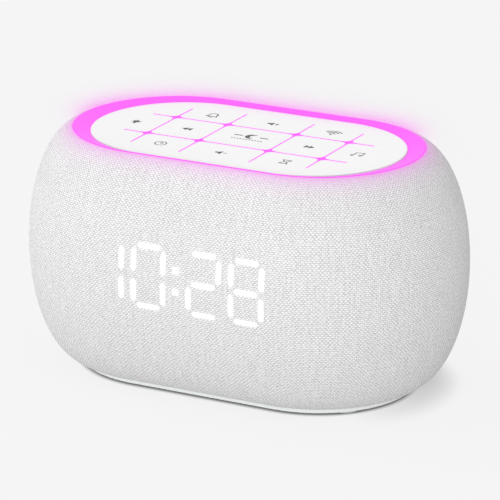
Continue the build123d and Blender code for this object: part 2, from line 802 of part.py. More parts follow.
def lug_sector(half_angle, radius, low, high):
    """Pair of opposite sectors on the X axis, as for a bayonet."""
    reach = 2 * radius
    tip = reach * tan(radians(half_angle))
    bow_tie = Polygon((0, 0), (reach, -tip), (reach, tip), align=None)
    bow_tie += Rot(0, 0, 180) * bow_tie
    return slab(bow_tie & Circle(radius), low, high)


def door_way():
    """Round way in for the battery door, with notches that let its lugs past."""
    way = drum(door_radius + door_fit, base_bottom, base_top)
    way += drum(well_radius, lip_roof, base_top)
    notches = lug_sector(lug_angle / 2 + 2, well_radius, base_bottom, base_top)
    return way + Rot(0, 0, door_turn) * notches


def battery_door():
    """Round door with two bayonet lugs and a coin slot, drawn locked."""
    door = drum(door_radius, door_low, door_inner_face)
    lugs_low = lip_roof + lug_play
    door += lug_sector(lug_angle / 2, door_radius + door_fit + lug_reach, lugs_low, lugs_low + lug_thick)
    length, width, depth = door_slot
    door -= Pos(0, 0, door_low) * Box(length, width, 2 * depth)
    return Pos(well_x, 0) * door


def coin_cell():
    """Coin cell lying on the door."""
    cell = drum(cell_radius, door_inner_face, cell_top)
    return Pos(well_x, 0) * fillet(cell.edges(), cell_round)


def battery_contacts():
    """Leaf spring on the cell's top and a curved side contact, both hung from the well's roof."""
    tip = 0.8 * cell_radius
    leaf = Polyline((-tip, well_roof), (0.2 * tip, well_roof), (0.9 * tip, cell_top + contact_thick),
                    (tip, cell_top + contact_thick), (tip, cell_top), (0.85 * tip, cell_top),
                    (0.15 * tip, well_roof - contact_thick), (-tip, well_roof - contact_thick), close=True)
    leaf = extrude(Plane.XZ * make_face(leaf), contact_half_width, both=True)
    sleeve = drum(cell_radius + contact_thick, cell_top - 0.8 * cell_height, well_roof)
    sleeve -= drum(cell_radius + 0.05, 0, well_roof)
    side = sleeve & block((-0.3 * cell_radius, 0.3 * cell_radius), (0, 2 * cell_radius), (0, well_roof))
    return [Pos(well_x, 0) * leaf, Pos(well_x, 0) * side]


def rubber_feet():
    """Four round feet set into the base."""
    foot = drum(foot_radius, 0, base_bottom + foot_inset)
    foot = fillet(foot.edges().group_by(Axis.Z)[0], 0.3)
    return [spot * foot for spot in foot_spots]


def base_screws():
    """Six screws that hold the base up to the shells."""
    one = screw(base_screw_head, base_screw_head_height, base_screw_shank, base_screw_length)
    one -= Pos(0, 0, -base_screw_head_height) * (Box(2.8, 0.6, 1.2) + Box(0.6, 2.8, 1.2))
    raised = Pos(0, 0, base_screw_seat) * one
    return [spot * raised for spot in base_spots]


def inner_screws():
    """All the small self-tapping screws inside."""
    one = inner_screw()
    screws = [spot * Pos(0, 0, deck_bottom) * one for spot in deck_spots + baffle_spots]
    forward = Pos(0, display_board_back, 0) * Rot(90, 0, 0)
    screws += [spot * forward * one for spot in display_spots]
    backward = Pos(0, flange_back, 0) * Rot(-90, 0, 0)
    screws += [spot * backward * one for spot in speaker_spots]
    downward = Pos(0, 0, main_board_top) * Rot(180, 0, 0)
    screws += [spot * downward * one for spot in quarters(standoff_x, standoff_y)]
    return screws


# ---------------------------------------------------------------- display
segment_marks = {"a": (0, 1, 0), "g": (0, 0, 0), "d": (0, -1, 0),
                 "b": (0.5, 0.5, 90), "c": (0.5, -0.5, 90), "e": (-0.5, -0.5, 90), "f": (-0.5, 0.5, 90)}
lit_marks = ("bc", "abcdef", "abged", "abcdefg")


def segment_outline(mark, grow):
    """One pointed bar of a digit, seen from the front."""
    across, up, turn = segment_marks[mark]
    run = digit_half_pitch if turn else digit_width
    half = run / 2 - segment_gap + grow
    waist = segment_width / 2 + grow
    bar = Polygon((-half, 0), (waist - half, waist), (half - waist, waist),
                  (half, 0), (half - waist, -waist), (waist - half, -waist), align=None)
    return Pos(across * digit_width, up * digit_half_pitch) * Rot(0, 0, turn) * bar


def clock_outlines(lit, grow):
    """Outlines of all the lit, or all the unlit, bars and dots of the clock."""
    outlines = []
    for centre, marks in zip(digit_centres, lit_marks):
        for mark in segment_marks:
            if (mark in marks) == lit:
                outlines.append(Pos(centre, 0) * segment_outline(mark, grow))
    if lit:
        dot = Rectangle(colon_side + 2 * grow, colon_side + 2 * grow)
        outlines += [Pos(0, side * colon_half_pitch) * dot for side in (-1, 1)]
    return outlines


def clock_inserts(lit):
    """Clear bars that carry the light from their cells to the cloth."""
    front = barrel(shade_inset)
    middle = Pos(display_x, 0, display_height)
    near = -flange_front - segment_depth
    return [middle * facing(outline, -2 * end_radius, near) & front for outline in clock_outlines(lit, 0)]


def display_shade():
    """Dark block with one cell for each bar, and a flange behind the front shell."""
    face = Rectangle(2 * shade_half_width, 2 * shade_half_height)
    flange = Rectangle(2 * flange_half_width, 2 * flange_half_height)
    middle = Pos(display_x, 0, display_height)
    shade = middle * facing(face, -2 * end_radius, -flange_front) & barrel(shade_inset)
    shade += middle * facing(flange, -flange_front, display_board_front)
    for outline in clock_outlines(True, cell_fit) + clock_outlines(False, cell_fit):
        shade -= middle * facing(outline, -2 * end_radius, display_board_front)
    for spot in display_spots:
        shade -= spot * rod(screw_hole, -flange_front, display_board_front)
    return shade


def display_board():
    """Circuit board behind the shade."""
    face = Rectangle(2 * flange_half_width, 2 * flange_half_height)
    board = Pos(display_x, 0, display_height) * facing(face, display_board_front, display_board_back)
    for spot in display_spots:
        board -= spot * rod(screw_hole, display_board_front, display_board_back)
    return board


def display_leds():
    """One LED at the back of each cell."""
    led = facing(Rectangle(led_side, led_side), display_board_front - led_height, display_board_front)
    middle = Pos(display_x, 0, display_height)
    places = [outline.center() for outline in clock_outlines(True, 0) + clock_outlines(False, 0)]
    return [middle * Pos(place.X, 0, place.Y) * led for place in places]


# ---------------------------------------------------------------- speaker
def speaker_basket():
    """Pressed frame with a square flange, four windows, a spider ledge and a terminal block."""
    bowl_y = flange_back - 2.5
    bowl_inner = basket_bowl - basket_wall
    foot = plate_radius + 1
    basket = turned_polygon((gap_radius + 1, plate_front), (foot, plate_front), (basket_bowl, bowl_y),
                            (basket_bowl, flange_back + 0.1), (bowl_inner, flange_back + 0.1),
                            (bowl_inner, bowl_y + 0.4), (foot - 0.6, plate_front + basket_wall),
                            (gap_radius + 1, plate_front + basket_wall))
    ledge_back = ledge_y - basket_wall
    ledge_outer = foot + ledge_height * (basket_bowl - foot) / (bowl_y - plate_front) - 0.7
    basket += turned_polygon((spider_outer - 3.4, ledge_back), (ledge_outer - 1, ledge_back),
                             (ledge_outer, ledge_y), (spider_outer - 3.4, ledge_y))
    for turn in (45, 135, 225, 315):
        window = block((plate_radius, basket_bowl + 4), (ledge_y + 0.8, bowl_y - 0.4), (-6, 6))
        basket -= Pos(0, 0, speaker_axis) * Rot(0, turn, 0) * window
    square = facing(RectangleRounded(speaker_side, speaker_side, flange_corner), flange_back, speaker_face)
    square -= rod(roll_middle + roll_radius - 0.4, flange_back, speaker_face)
    square -= rod(surround_seat_radius, surround_seat, speaker_face)
    basket += Pos(0, 0, speaker_axis) * square
    half_block = lead_spacing / 2 + 1.3
    basket += block((terminal_x - half_block, terminal_x + half_block), (flange_back - 2, flange_back),
                    (speaker_low + 0.3, speaker_low + 2.6))
    for spot in speaker_spots:
        basket -= spot * rod(screw_hole, flange_back, speaker_face)
    return basket


def speaker_top_plate():
    """Steel ring at the front of the magnet."""
    return turned_polygon((gap_radius, plate_back), (plate_radius, plate_back),
                          (plate_radius, plate_front), (gap_radius, plate_front))


def speaker_magnet():
    """Ferrite ring."""
    return turned_polygon((magnet_bore, magnet_back), (magnet_radius, magnet_back),
                          (magnet_radius, plate_back), (magnet_bore, plate_back))


def speaker_yoke():
    """Steel back plate with the centre pole."""
    return turned_polygon((0, yoke_back), (plate_radius, yoke_back), (plate_radius, magnet_back),
                          (pole_radius, magnet_back), (pole_radius, plate_front), (0, plate_front))


def voice_coil():
    """Paper former with its winding."""
    front = former_back + former_length
    coil_low = former_back + 2
    coil_high = coil_low + coil_length
    return turned_polygon((former_inner, former_back), (former_outer, former_back), (former_outer, coil_low),
                          (coil_outer, coil_low), (coil_outer, coil_high), (former_outer, coil_high),
                          (former_outer, front), (former_inner, front))


def speaker_cone():
    """Thin cone from the former to the surround."""
    return turned_polygon((former_outer, cone_neck_y), (cone_rim, cone_rim_y),
                          (cone_rim, cone_rim_y + cone_wall), (former_outer, cone_neck_y + cone_wall))


def speaker_dust_cap():
    """Shallow dome over the coil."""
    angle = degrees(asin(cap_rim / cap_sphere))
    inside = cap_sphere - cap_wall
    centre = former_back + former_length + cap_clear - sqrt(inside ** 2 - former_outer ** 2)
    outer = CenterArc((0, centre), cap_sphere, 90 - angle, angle)
    inner = CenterArc((0, centre), inside, 90 - angle, angle)
    return turned(outer, Line(outer @ 0, inner @ 0), inner, Line(outer @ 1, inner @ 1))


def speaker_surround():
    """Half-round rubber roll between the cone's rim and the flange."""
    outer = CenterArc((roll_middle, surround_seat), roll_radius, 0, 180)
    inner = CenterArc((roll_middle, surround_seat), roll_radius - roll_wall, 0, 180)
    ring = turned(outer, Line(outer @ 1, inner @ 1), inner, Line(outer @ 0, inner @ 0))
    lip_outer = surround_seat_radius - 0.1
    roll_edge = roll_middle + roll_radius
    lip = turned_polygon((roll_edge - roll_wall, surround_seat), (lip_outer, surround_seat),
                         (lip_outer, surround_seat + roll_wall), (roll_edge - 0.1, surround_seat + roll_wall))
    return ring + lip


def speaker_spider():
    """Corrugated disc that centres the coil, lying on the basket's ledge."""
    inner = former_outer + 0.05
    flat = spider_outer - 3.2
    lower = [(inner, ledge_y), (inner + 1, ledge_y)]
    for wave in range(spider_waves):
        radius = inner + 1 + (wave + 0.5) * (flat - inner - 1) / spider_waves
        lower.append((radius, ledge_y + (spider_swell if wave % 2 else 0)))
    lower += [(flat, ledge_y), (spider_outer, ledge_y)]
    upper = [(radius, height + spider_wall) for radius, height in reversed(lower)]
    return turned_polygon(*lower, *upper)


def speaker_gasket():
    """Foam ring between the flange and the rear shell."""
    ring = facing(RectangleRounded(speaker_side, speaker_side, flange_corner), speaker_face, gasket_back)
    ring -= rod(surround_seat_radius + 0.1, speaker_face, gasket_back)
    gasket = Pos(0, 0, speaker_axis) * ring
    for spot in speaker_spots:
        gasket -= spot * rod(screw_hole, speaker_face, gasket_back)
    return gasket


# ---------------------------------------------------------------- main board, power and cables
def main_board():
    """Circuit board on the base's stand-offs, with a tab that reaches back to the power port."""
    board = slab(Rectangle(main_board_x, main_board_y), standoff_top, main_board_top)
    tab_end = port_face - port_wall - tab_gap
    board += block((-tab_width / 2, tab_width / 2), (0, tab_end), (standoff_top, main_board_top))
    for spot in quarters(standoff_x, standoff_y):
        board -= spot * drum(screw_hole, standoff_top, main_board_top)
    return board


def on_board(x, y, width, depth, height):
    """Box-shaped component standing on the main board."""
    return Pos(x, y, main_board_top + height / 2) * Box(width, depth, height)


def board_parts():
    """Chips, module, inductor, capacitors and connectors on the main board."""
    capacitor = drum(3, main_board_top, main_board_top + 7)
    capacitor = fillet(capacitor.edges().group_by(Axis.Z)[-1], 0.4)
    return [
        on_board(-22, 6, 9, 9, 1.0),
        on_board(-25, -10, 16, 12, 2.2),
        on_board(14, -10, 6, 6, 1.0),
        on_board(22, -12, 6, 6, 3.0),
        on_board(-8, 16, 5, 4, 1.2),
        on_board(key_connector_x, 0, 4, key_ribbon_width + 2, connector_height),
        on_board(display_ribbon_x, display_connector_y + 2, display_ribbon_width + 2, 4, connector_height),
        on_board(terminal_x, speaker_connector_y - 2, 8, 4, connector_height),
        Pos(3, 8) * capacitor,
        Pos(3, 16) * capacitor,
    ]


def power_socket():
    """Small metal socket shell with its tongue, at the board's rear edge."""
    shell = RectangleRounded(socket_width, socket_height, socket_height / 2 - 0.02)
    bore = RectangleRounded(socket_width - 2 * socket_wall, socket_height - 2 * socket_wall,
                            socket_height / 2 - socket_wall - 0.02)
    back = port_face - socket_length
    socket = facing(shell, back, port_face) - facing(bore, back + 1.2, port_face)
    return port_centre * (socket + facing(Rectangle(6.2, 0.7), back, port_face - 0.9))


def port_bezel():
    """Plastic recess through the rear wall that a plug's grip goes into, with a thin outside flange."""
    corner = port_height / 2 - 0.1
    outer = RectangleRounded(port_width + 2 * port_wall, port_height + 2 * port_wall, corner + port_wall)
    flange = RectangleRounded(port_width + 2 * (port_wall + port_flange),
                              port_height + 2 * (port_wall + port_flange), corner + port_wall + port_flange)
    recess = RectangleRounded(port_width, port_height, corner)
    hole = RectangleRounded(socket_width + 2 * port_fit, socket_height + 2 * port_fit, socket_height / 2)
    limit = barrel(-port_proud)
    back = port_face - port_wall
    bezel = port_centre * facing(outer, back, 2 * end_radius) & limit
    bezel += (port_centre * facing(flange, port_face, 2 * end_radius) & limit) - barrel(0)
    bezel -= port_centre * facing(recess, port_face, 2 * end_radius)
    return bezel - port_centre * facing(hole, back, port_face)


def swept(section, *points, radii):
    """A section carried along straight runs joined by arcs."""
    path = FilletPolyline(*points, radius=radii)
    start = Plane(origin=path @ 0, x_dir=section_direction(path), z_dir=path % 0)
    return sweep(start * section, path=path)


def section_direction(path):
    """Direction across a ribbon: along Y for a path in the XZ plane, else along X."""
    turns_in_xz = abs((path @ 0).Y - (path @ 1).Y) < 1e-6
    return (0, 1, 0) if turns_in_xz else (1, 0, 0)


def internal_cables():
    """Key and display ribbons and the two speaker leads, all inside the body."""
    key_ribbon = swept(
        Rectangle(key_ribbon_width, ribbon_thick),
        (key_ribbon_x, 0, deck_top),
        (key_ribbon_x, 0, connector_mid),
        (key_connector_x + 2, 0, connector_mid),
        radii=6)
    display_ribbon = swept(
        Rectangle(display_ribbon_width, ribbon_thick),
        (display_ribbon_x, display_board_back, display_height - ribbon_drop),
        (display_ribbon_x, display_board_back + ribbon_bow, display_height - ribbon_drop),
        (display_ribbon_x, display_board_back + ribbon_bow, connector_mid),
        (display_ribbon_x, display_connector_y, connector_mid),
        radii=2.5)
    terminal_y = flange_back - 2
    terminal_z = speaker_low + 1.4
    leads = [
        swept(Circle(lead_radius), (x, terminal_y, terminal_z), (x, terminal_y - 6, terminal_z),
              (x, terminal_y - 14, connector_mid), (x, speaker_connector_y, connector_mid), radii=5)
        for x in (terminal_x - lead_spacing / 2, terminal_x + lead_spacing / 2)
    ]
    return [key_ribbon, display_ribbon, *leads]


# ---------------------------------------------------------------- write every node
def main():
    os.makedirs("parts", exist_ok=True)
    front_shell, rear_shell = shells()
    save("fabric_sleeve", fabric_sleeve())
    save("front_shell", front_shell)
    save("rear_shell", rear_shell)
    save("base_plate", base_plate())
    save("base_screws", *base_screws())
    save("rubber_feet", *rubber_feet())
    save("battery_door", battery_door())
    save("coin_cell", coin_cell())
    save("battery_contacts", *battery_contacts())
    save("top_deck", top_deck())
    save("top_board", top_board())
    save("top_leds", *top_leds())
    save("light_baffle", light_baffle())
    save("light_ring", light_ring())
    save("grid_light_guide", grid_light_guide())
    save("key_panel", key_panel())
    for name in keys:
        save("key_" + name, key_cap(name))
        save("plunger_" + name, switch_plunger(name))
    save("switch_bodies", *[switch_body(name) for name in keys])
    save("inner_screws", *inner_screws())
    save("display_shade", display_shade())
    save("lit_segments", *clock_inserts(True))
    save("dark_segments", *clock_inserts(False))
    save("display_board", display_board())
    save("display_leds", *display_leds())
    save("speaker_basket", speaker_basket())
    save("speaker_top_plate", speaker_top_plate())
    save("speaker_magnet", speaker_magnet())
    save("speaker_yoke", speaker_yoke())
    save("voice_coil", voice_coil())
    save("speaker_cone", speaker_cone())
    save("speaker_dust_cap", speaker_dust_cap())
    save("speaker_surround", speaker_surround())
    save("speaker_spider", speaker_spider())
    save("speaker_gasket", speaker_gasket())
    save("main_board", main_board())
    save("board_parts", *board_parts())
    save("power_socket", power_socket())
    save("port_bezel", port_bezel())
    save("internal_cables", *internal_cables())


main()
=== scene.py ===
import json
import math

import bpy
import numpy as np
from mathutils import Matrix, Vector


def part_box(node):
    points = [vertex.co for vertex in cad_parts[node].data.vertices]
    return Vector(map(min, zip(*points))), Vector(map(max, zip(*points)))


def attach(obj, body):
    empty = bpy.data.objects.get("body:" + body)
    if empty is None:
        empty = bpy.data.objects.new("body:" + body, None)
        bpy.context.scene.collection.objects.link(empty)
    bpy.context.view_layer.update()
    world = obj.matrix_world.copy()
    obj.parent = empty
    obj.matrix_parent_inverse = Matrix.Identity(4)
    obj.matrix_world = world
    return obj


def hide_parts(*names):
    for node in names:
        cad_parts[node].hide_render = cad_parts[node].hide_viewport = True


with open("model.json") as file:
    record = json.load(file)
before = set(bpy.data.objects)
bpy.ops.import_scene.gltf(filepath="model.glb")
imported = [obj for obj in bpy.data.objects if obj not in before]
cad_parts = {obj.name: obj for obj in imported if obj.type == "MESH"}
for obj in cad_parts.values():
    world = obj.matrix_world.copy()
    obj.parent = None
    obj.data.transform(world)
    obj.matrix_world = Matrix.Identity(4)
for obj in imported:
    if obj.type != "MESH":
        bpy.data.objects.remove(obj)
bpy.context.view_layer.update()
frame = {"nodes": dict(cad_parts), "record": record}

bl_info = {
    "name": "Bedside Sound Machine",
    "version": (1, 0, 0),
    "blender": (4, 5, 0),
    "location": "View3D > Sidebar > Sound Machine",
    "description": "Cloth cover, key symbols, finishes and studio for a bedside sound machine",
    "category": "Object",
}

MM = 0.001

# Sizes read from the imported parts, in metres.
SLEEVE_LOW, SLEEVE_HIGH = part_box("fabric_sleeve")
BASE_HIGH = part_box("base_plate")[1]
RING_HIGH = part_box("light_ring")[1]
PORT_LOW, PORT_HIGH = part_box("port_bezel")
SHADE_LOW, SHADE_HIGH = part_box("display_shade")
HALF_STRAIGHT = SLEEVE_HIGH.x - SLEEVE_HIGH.y
END_RADIUS = BASE_HIGH.y
SIDE_BULGE = SLEEVE_HIGH.y - END_RADIUS
RING_FOOT = 0.75 * MM
RING_RADIUS = RING_HIGH.y - RING_FOOT
KEY_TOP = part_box("key_panel")[1].z
GUIDE_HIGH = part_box("grid_light_guide")[1]
SNOOZE_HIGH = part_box("key_snooze")[1]
NEXT_LOW, NEXT_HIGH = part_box("key_next")
ALARM_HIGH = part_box("key_alarm")[1]
HALF_SLOT = (NEXT_LOW.x - SNOOZE_HIGH.x) / 2
LINE_X_INNER = SNOOZE_HIGH.x + HALF_SLOT
LINE_X_OUTER = NEXT_HIGH.x + HALF_SLOT
LINE_Y = SNOOZE_HIGH.y + HALF_SLOT

# Light between the keys.
KEY_CORNER = 1.7 * MM
LINE_BLEED = 0.04 * MM
CROSS_LINE_BLEED = 0.15 * MM
STAR_BLEED = 0.78 * MM
STAR_REACH = 1.8 * MM

# The cloth, where the parts' boxes don't give its sizes. MEAN_BULGE is the share of the side's bulge that
# gives the cloth's mean girth.
SIDE_HALF_HEIGHT = 39.83 * MM
SIDE_MID = SLEEVE_LOW.z + SIDE_HALF_HEIGHT
SHEET_THICK = 0.28 * MM
EDGE_ROLL = 0.2 * MM
EDGE_TUCK = 0.5 * MM
RIM_GAP = 0.03 * MM
HEM_DEPTH = 1.2 * MM
HEM_LIFT = 0.40 * MM
HEM_ROWS = 2
SIDE_SAMPLES = 4001
SEAM_DEPTH = 0.18 * MM
SEAM_HALF_WIDTH = 0.4 * MM
PORT_COVER = 1.0 * MM
FINE_STEP = 0.55 * MM
EDGE_STEP = 0.6 * MM
ROW_STEP = 1.15 * MM
COLUMN_STEP = 1.5 * MM
EDGE_ZONE = 3 * MM

# The weave: how round the threads are, how low the weft lies, and where a thread's crown gets its painted
# highlight.
THREAD_ROUND = 0.6
WEFT_SHARE = 0.8
ROW_CROWN = 0.45
CROSSING_CROWN = 0.65
CROWN_RANGE = (-0.9, 0.65)
SLUB_SHARE = 0.5
KNOT_SHARE = 0.9
FIBRE_SHARE = 0.3
WEAVE_RELIEF = 0.2 * MM

# Light painted on the cloth as colour and glow: near the ring, at its rim, and where the clock shows through.
RING_GLOW_REACH = 2.9 * MM
RING_LIGHT_PAINT_COLOUR = (0.92, 0.38, 0.90)
RING_LIGHT_PAINT_SHARE = 0.92
RING_GLOW = 0.06
RIM_LIGHT_PAINT_COLOUR = (0.60, 0.07, 0.55)
RIM_GLOW = 0.5
RIM_POWER = 12.0
CLOCK_EDGE = (0.975, 1.125)
CLOCK_LIGHT_PAINT_COLOUR = (0.93, 0.93, 0.93)
CLOCK_LIGHT = 0.34
CLOCK_SPILL = 0.03

# How far the symbols' ink stands above the keys, and how far it reaches into them.
INK_RISE = 0.02 * MM
INK_SINK = 0.03 * MM

# The clock, as the lit inserts show it.
CLOCK_MIDDLE = ((SHADE_LOW.x + SHADE_HIGH.x) / 2, (SHADE_LOW.z + SHADE_HIGH.z) / 2)
DIGIT_CENTRES = (-25.35 * MM, -10.05 * MM, 10.05 * MM, 25.35 * MM)
DIGIT_WIDTH = 10.8 * MM
DIGIT_HALF_PITCH = 10.1 * MM
BAR_WIDTH = 2.1 * MM
BAR_GAP = 0.8 * MM
COLON_HALF_PITCH = 3.6 * MM
COLON_SIDE = 2.6 * MM
GLOW_REACH = 4.0 * MM
# Each bar: shares of the digit's width and half pitch from its middle, and its turn in degrees.
SEGMENTS = {"a": (0, 1, 0), "g": (0, 0, 0), "d": (0, -1, 0), "b": (0.5, 0.5, 90),
            "c": (0.5, -0.5, 90), "e": (-0.5, -0.5, 90), "f": (-0.5, 0.5, 90)}
LIT_SEGMENTS = ("bc", "abcdef", "abged", "abcdefg")

# Camera, solved from the outline of the object and its base.
CAMERA_AZIMUTH = math.radians(26.947)
CAMERA_ELEVATION = math.radians(18.463)
CAMERA_ROLL = math.radians(0.162)
CAMERA_DISTANCE = 1.1838
CAMERA_LENS = 255.4
CAMERA_TARGET_SHIFT = (0.848 * MM, 0.823 * MM)
CAMERA_TARGET_HEIGHT = 40.8 * MM
CAMERA_SENSOR = 36.0

# Floor: its own share of the light, what the lamps then give it, and the shadows painted into its glow.
FLOOR_HALF = 2.5
FLOOR_SHARE = 0.10
FLOOR_LAMPS = 0.90
FLOOR_BOUNCE = 0.41
SHADOW_SAMPLES = 12
CONTACT_REACH = 2.0 * MM
CONTACT_DARK = 0.12
OVERHANG_REACH = 12 * MM
OVERHANG_SHADE = 0.40
OVERHANG_LOOK = (-0.6, -0.7, 0.4)
FAR_SIDE = (0.64, 0.77)

# Lamps: how broad each is, in degrees, and the way its light goes.
SIDE_LAMP = (60, (0.08, 0.0, -0.03))
FRONT_LAMP = (24, (-0.25, 0.96, -0.10))

# Painted glow round the ring, drawn as a haze.
HALO_ROOM = 16 * MM
HALO_ABOVE = 6 * MM
HALO_COUNT = 96
HALO_DENSITY = 330.0
HALO_SLOPE = (0.38, 0.20)
HALO_SIDE = (0.25, 0.85)


# ---- settings a user would change
class ClothSettings(bpy.types.PropertyGroup):
    thread_pitch: bpy.props.FloatProperty(
        name="Thread pitch", description="Distance between neighbouring threads", default=0.675 * MM,
        min=0.2 * MM, max=3 * MM, unit="LENGTH", precision=5)
    colour: bpy.props.FloatVectorProperty(
        name="Cloth colour", description="Colour of the threads", subtype="COLOR", size=3,
        default=(0.99, 0.99, 0.99), min=0, max=1)
    # Gap colour: painted shade between the threads.
    gap_colour: bpy.props.FloatVectorProperty(
        name="Gap colour", description="Colour between the threads", subtype="COLOR", size=3,
        default=(0.50, 0.50, 0.50), min=0, max=1)


class LightSettings(bpy.types.PropertyGroup):
    ring_colour: bpy.props.FloatVectorProperty(
        name="Ring light", description="Colour of the ring and of the lines between the keys",
        subtype="COLOR", size=3, default=(1.0, 0.135, 0.93), min=0, max=1)
    halo_reach: bpy.props.FloatProperty(
        name="Halo reach", description="Distance over which the glow round the ring fades",
        default=2.9 * MM, min=0.1 * MM, max=30 * MM, unit="LENGTH", precision=5)


class StudioSettings(bpy.types.PropertyGroup):
    backdrop: bpy.props.FloatProperty(
        name="Backdrop level", description="Level of the floor and backdrop, where 1 is white",
        default=0.913, min=0, max=1)
    side_level: bpy.props.FloatProperty(
        name="Side light", description="Strength of the broad light from the left",
        default=0.95, min=0, max=10)
    front_level: bpy.props.FloatProperty(
        name="Front light", description="Strength of the low broad light from the front",
        default=1.58, min=0, max=10)
    fill_level: bpy.props.FloatProperty(
        name="Fill level", description="Strength of the even light from all round",
        default=0.75, min=0, max=10)


# ---- node helpers
def feed(tree, target, value):
    """Link a socket, or set a plain value."""
    if isinstance(value, bpy.types.NodeSocket):
        tree.links.new(value, target)
    elif value is not None:
        target.default_value = value


def add(tree, kind, inputs=None, **settings):
    """Add a node of one kind, with its settings and the values or links of its inputs."""
    node = tree.nodes.new("ShaderNode" + kind)
    for name, value in settings.items():
        setattr(node, name, value)
    for name, value in (inputs or {}).items():
        feed(tree, node.inputs[name], value)
    return node


def calc(tree, operation, a, b=None, c=None, clamp=False):
    """One step of arithmetic on values or sockets."""
    node = add(tree, "Math", {0: a, 1: b, 2: c}, operation=operation, use_clamp=clamp)
    return node.outputs[0]


def times(tree, a, b):
    """One value times another."""
    return calc(tree, "MULTIPLY", a, b)


def plus(tree, a, b):
    """One value plus another."""
    return calc(tree, "ADD", a, b)


def minus(tree, a, b):
    """One value less another."""
    return calc(tree, "SUBTRACT", a, b)


def squares(tree, x, y):
    """The squares of two values, added."""
    return plus(tree, times(tree, x, x), times(tree, y, y))


def length(tree, x, y):
    """Length of a way given by its two parts."""
    return calc(tree, "SQRT", squares(tree, x, y))


def ramp(tree, value, low, high, to_low=0.0, to_high=1.0, smooth=True):
    """Map a value from one range to another, held at both ends."""
    kind = "SMOOTHSTEP" if smooth else "LINEAR"
    node = add(tree, "MapRange", {0: value, 1: low, 2: high, 3: to_low, 4: to_high}, interpolation_type=kind)
    return node.outputs[0]


def blend_colour(tree, share, first, second):
    """Mix two colours by a share from 0 to 1."""
    node = tree.nodes.new("ShaderNodeMix")
    node.data_type = "RGBA"
    for index, value in ((0, share), (6, first), (7, second)):
        if isinstance(value, (tuple, list)):
            value = (*value[:3], 1.0)
        feed(tree, node.inputs[index], value)
    return node.outputs[2]


def object_place(tree):
    """Place on the piece, in metres."""
    return add(tree, "TexCoord").outputs["Object"]


def noise(tree, place, scale, detail):
    """Noise from 0 to 1 at a place."""
    return add(tree, "TexNoise", {"Vector": place, "Scale": scale, "Detail": detail}).outputs[0]


def stretched(tree, place, scale):
    """A place with each of its axes scaled."""
    return add(tree, "Mapping", {"Vector": place, "Scale": scale}).outputs[0]


def varied(tree, value, noise_value, amount):
    """A value with some noise added about it."""
    return calc(tree, "MULTIPLY_ADD", minus(tree, noise_value, 0.5), amount, value)


def cleared_tree(owner):
    """The emptied node tree of a material or world."""
    owner.use_nodes = True
    owner.node_tree.nodes.clear()
    return owner.node_tree


def show(piece):
    """Put an object in the scene."""
    bpy.context.scene.collection.objects.link(piece)
    return piece


def stadium_place(tree):
    """A place as seen from the stadium's spine: how far past its straight part, how far across it, the
    distance out, and the height."""
    place = add(tree, "SeparateXYZ", {0: object_place(tree)}).outputs
    past = calc(tree, "MAXIMUM", minus(tree, calc(tree, "ABSOLUTE", place[0]), HALF_STRAIGHT), 0.0)
    beyond = times(tree, past, calc(tree, "SIGN", place[0]))
    return beyond, place[1], length(tree, beyond, place[1]), place[2]


def toward(tree, beyond, across, out, way):
    """How much the way out from the spine points along another: 1 along it, -1 against it."""
    return calc(tree, "DIVIDE", plus(tree, times(tree, beyond, way[0]), times(tree, across, way[1])), out)


def seen_by_eye(tree):
    """1 for rays from the camera or through glass or a reflection, else 0."""
    path = add(tree, "LightPath")
    either = calc(tree, "MAXIMUM", path.outputs["Is Camera Ray"], path.outputs["Is Glossy Ray"])
    return calc(tree, "MAXIMUM", either, path.outputs["Is Transmission Ray"])


def new_group(name, inputs, outputs):
    """An empty node group with named inputs and outputs."""
    group = bpy.data.node_groups.new(name, "ShaderNodeTree")
    for title, kind, default in inputs:
        socket = group.interface.new_socket(title, in_out="INPUT", socket_type="NodeSocket" + kind)
        if default is not None:
            socket.default_value = default
    for title, kind in outputs:
        group.interface.new_socket(title, in_out="OUTPUT", socket_type="NodeSocket" + kind)
    return group, group.nodes.new("NodeGroupInput").outputs, group.nodes.new("NodeGroupOutput").inputs


def use_group(tree, name, **inputs):
    """Place a shared group in a material, with its own values. The group is made at its first use."""
    if name not in bpy.data.node_groups:
        SHARED_EFFECTS[name](name)
    node = tree.nodes.new("ShaderNodeGroup")
    node.node_tree = bpy.data.node_groups[name]
    for title, value in inputs.items():
        feed(tree, node.inputs[title], value)
    return node.outputs


# ---- shared effects
FINISH_OUTPUTS = (("Normal", "Vector"), ("Roughness", "Float"), ("Tone", "Float"))


def make_weave_group(name):
    """Plain weave: each thread is a round ridge that rises and dips from one crossing to the next. Crown is
    high where a thread lies on top, most of all in the middle of a row."""
    tree, inputs, outputs = new_group(
        name,
        [("Across", "Float", 0.0), ("Along", "Float", 0.0)],
        [("Height", "Float"), ("Crown", "Float")])
    warp_wave = calc(tree, "SINE", times(tree, inputs["Across"], math.pi))
    weft_wave = calc(tree, "SINE", times(tree, inputs["Along"], math.pi))
    warp, weft = (
        times(tree, calc(tree, "POWER", calc(tree, "ABSOLUTE", own), THREAD_ROUND),
              calc(tree, "MULTIPLY_ADD", calc(tree, "SIGN", own), times(tree, other, half), 0.5))
        for own, other, half in ((warp_wave, weft_wave, 0.5), (weft_wave, warp_wave, -0.5)))
    feed(tree, outputs["Height"], calc(tree, "MAXIMUM", warp, times(tree, weft, WEFT_SHARE)))
    rows = calc(tree, "MULTIPLY_ADD", times(tree, weft_wave, weft_wave), 2.0, -1.0)
    crossings = times(tree, times(tree, warp_wave, weft_wave), CROSSING_CROWN)
    crown = calc(tree, "MULTIPLY_ADD", rows, ROW_CROWN, crossings)
    feed(tree, outputs["Crown"], ramp(tree, crown, *CROWN_RANGE, smooth=False))


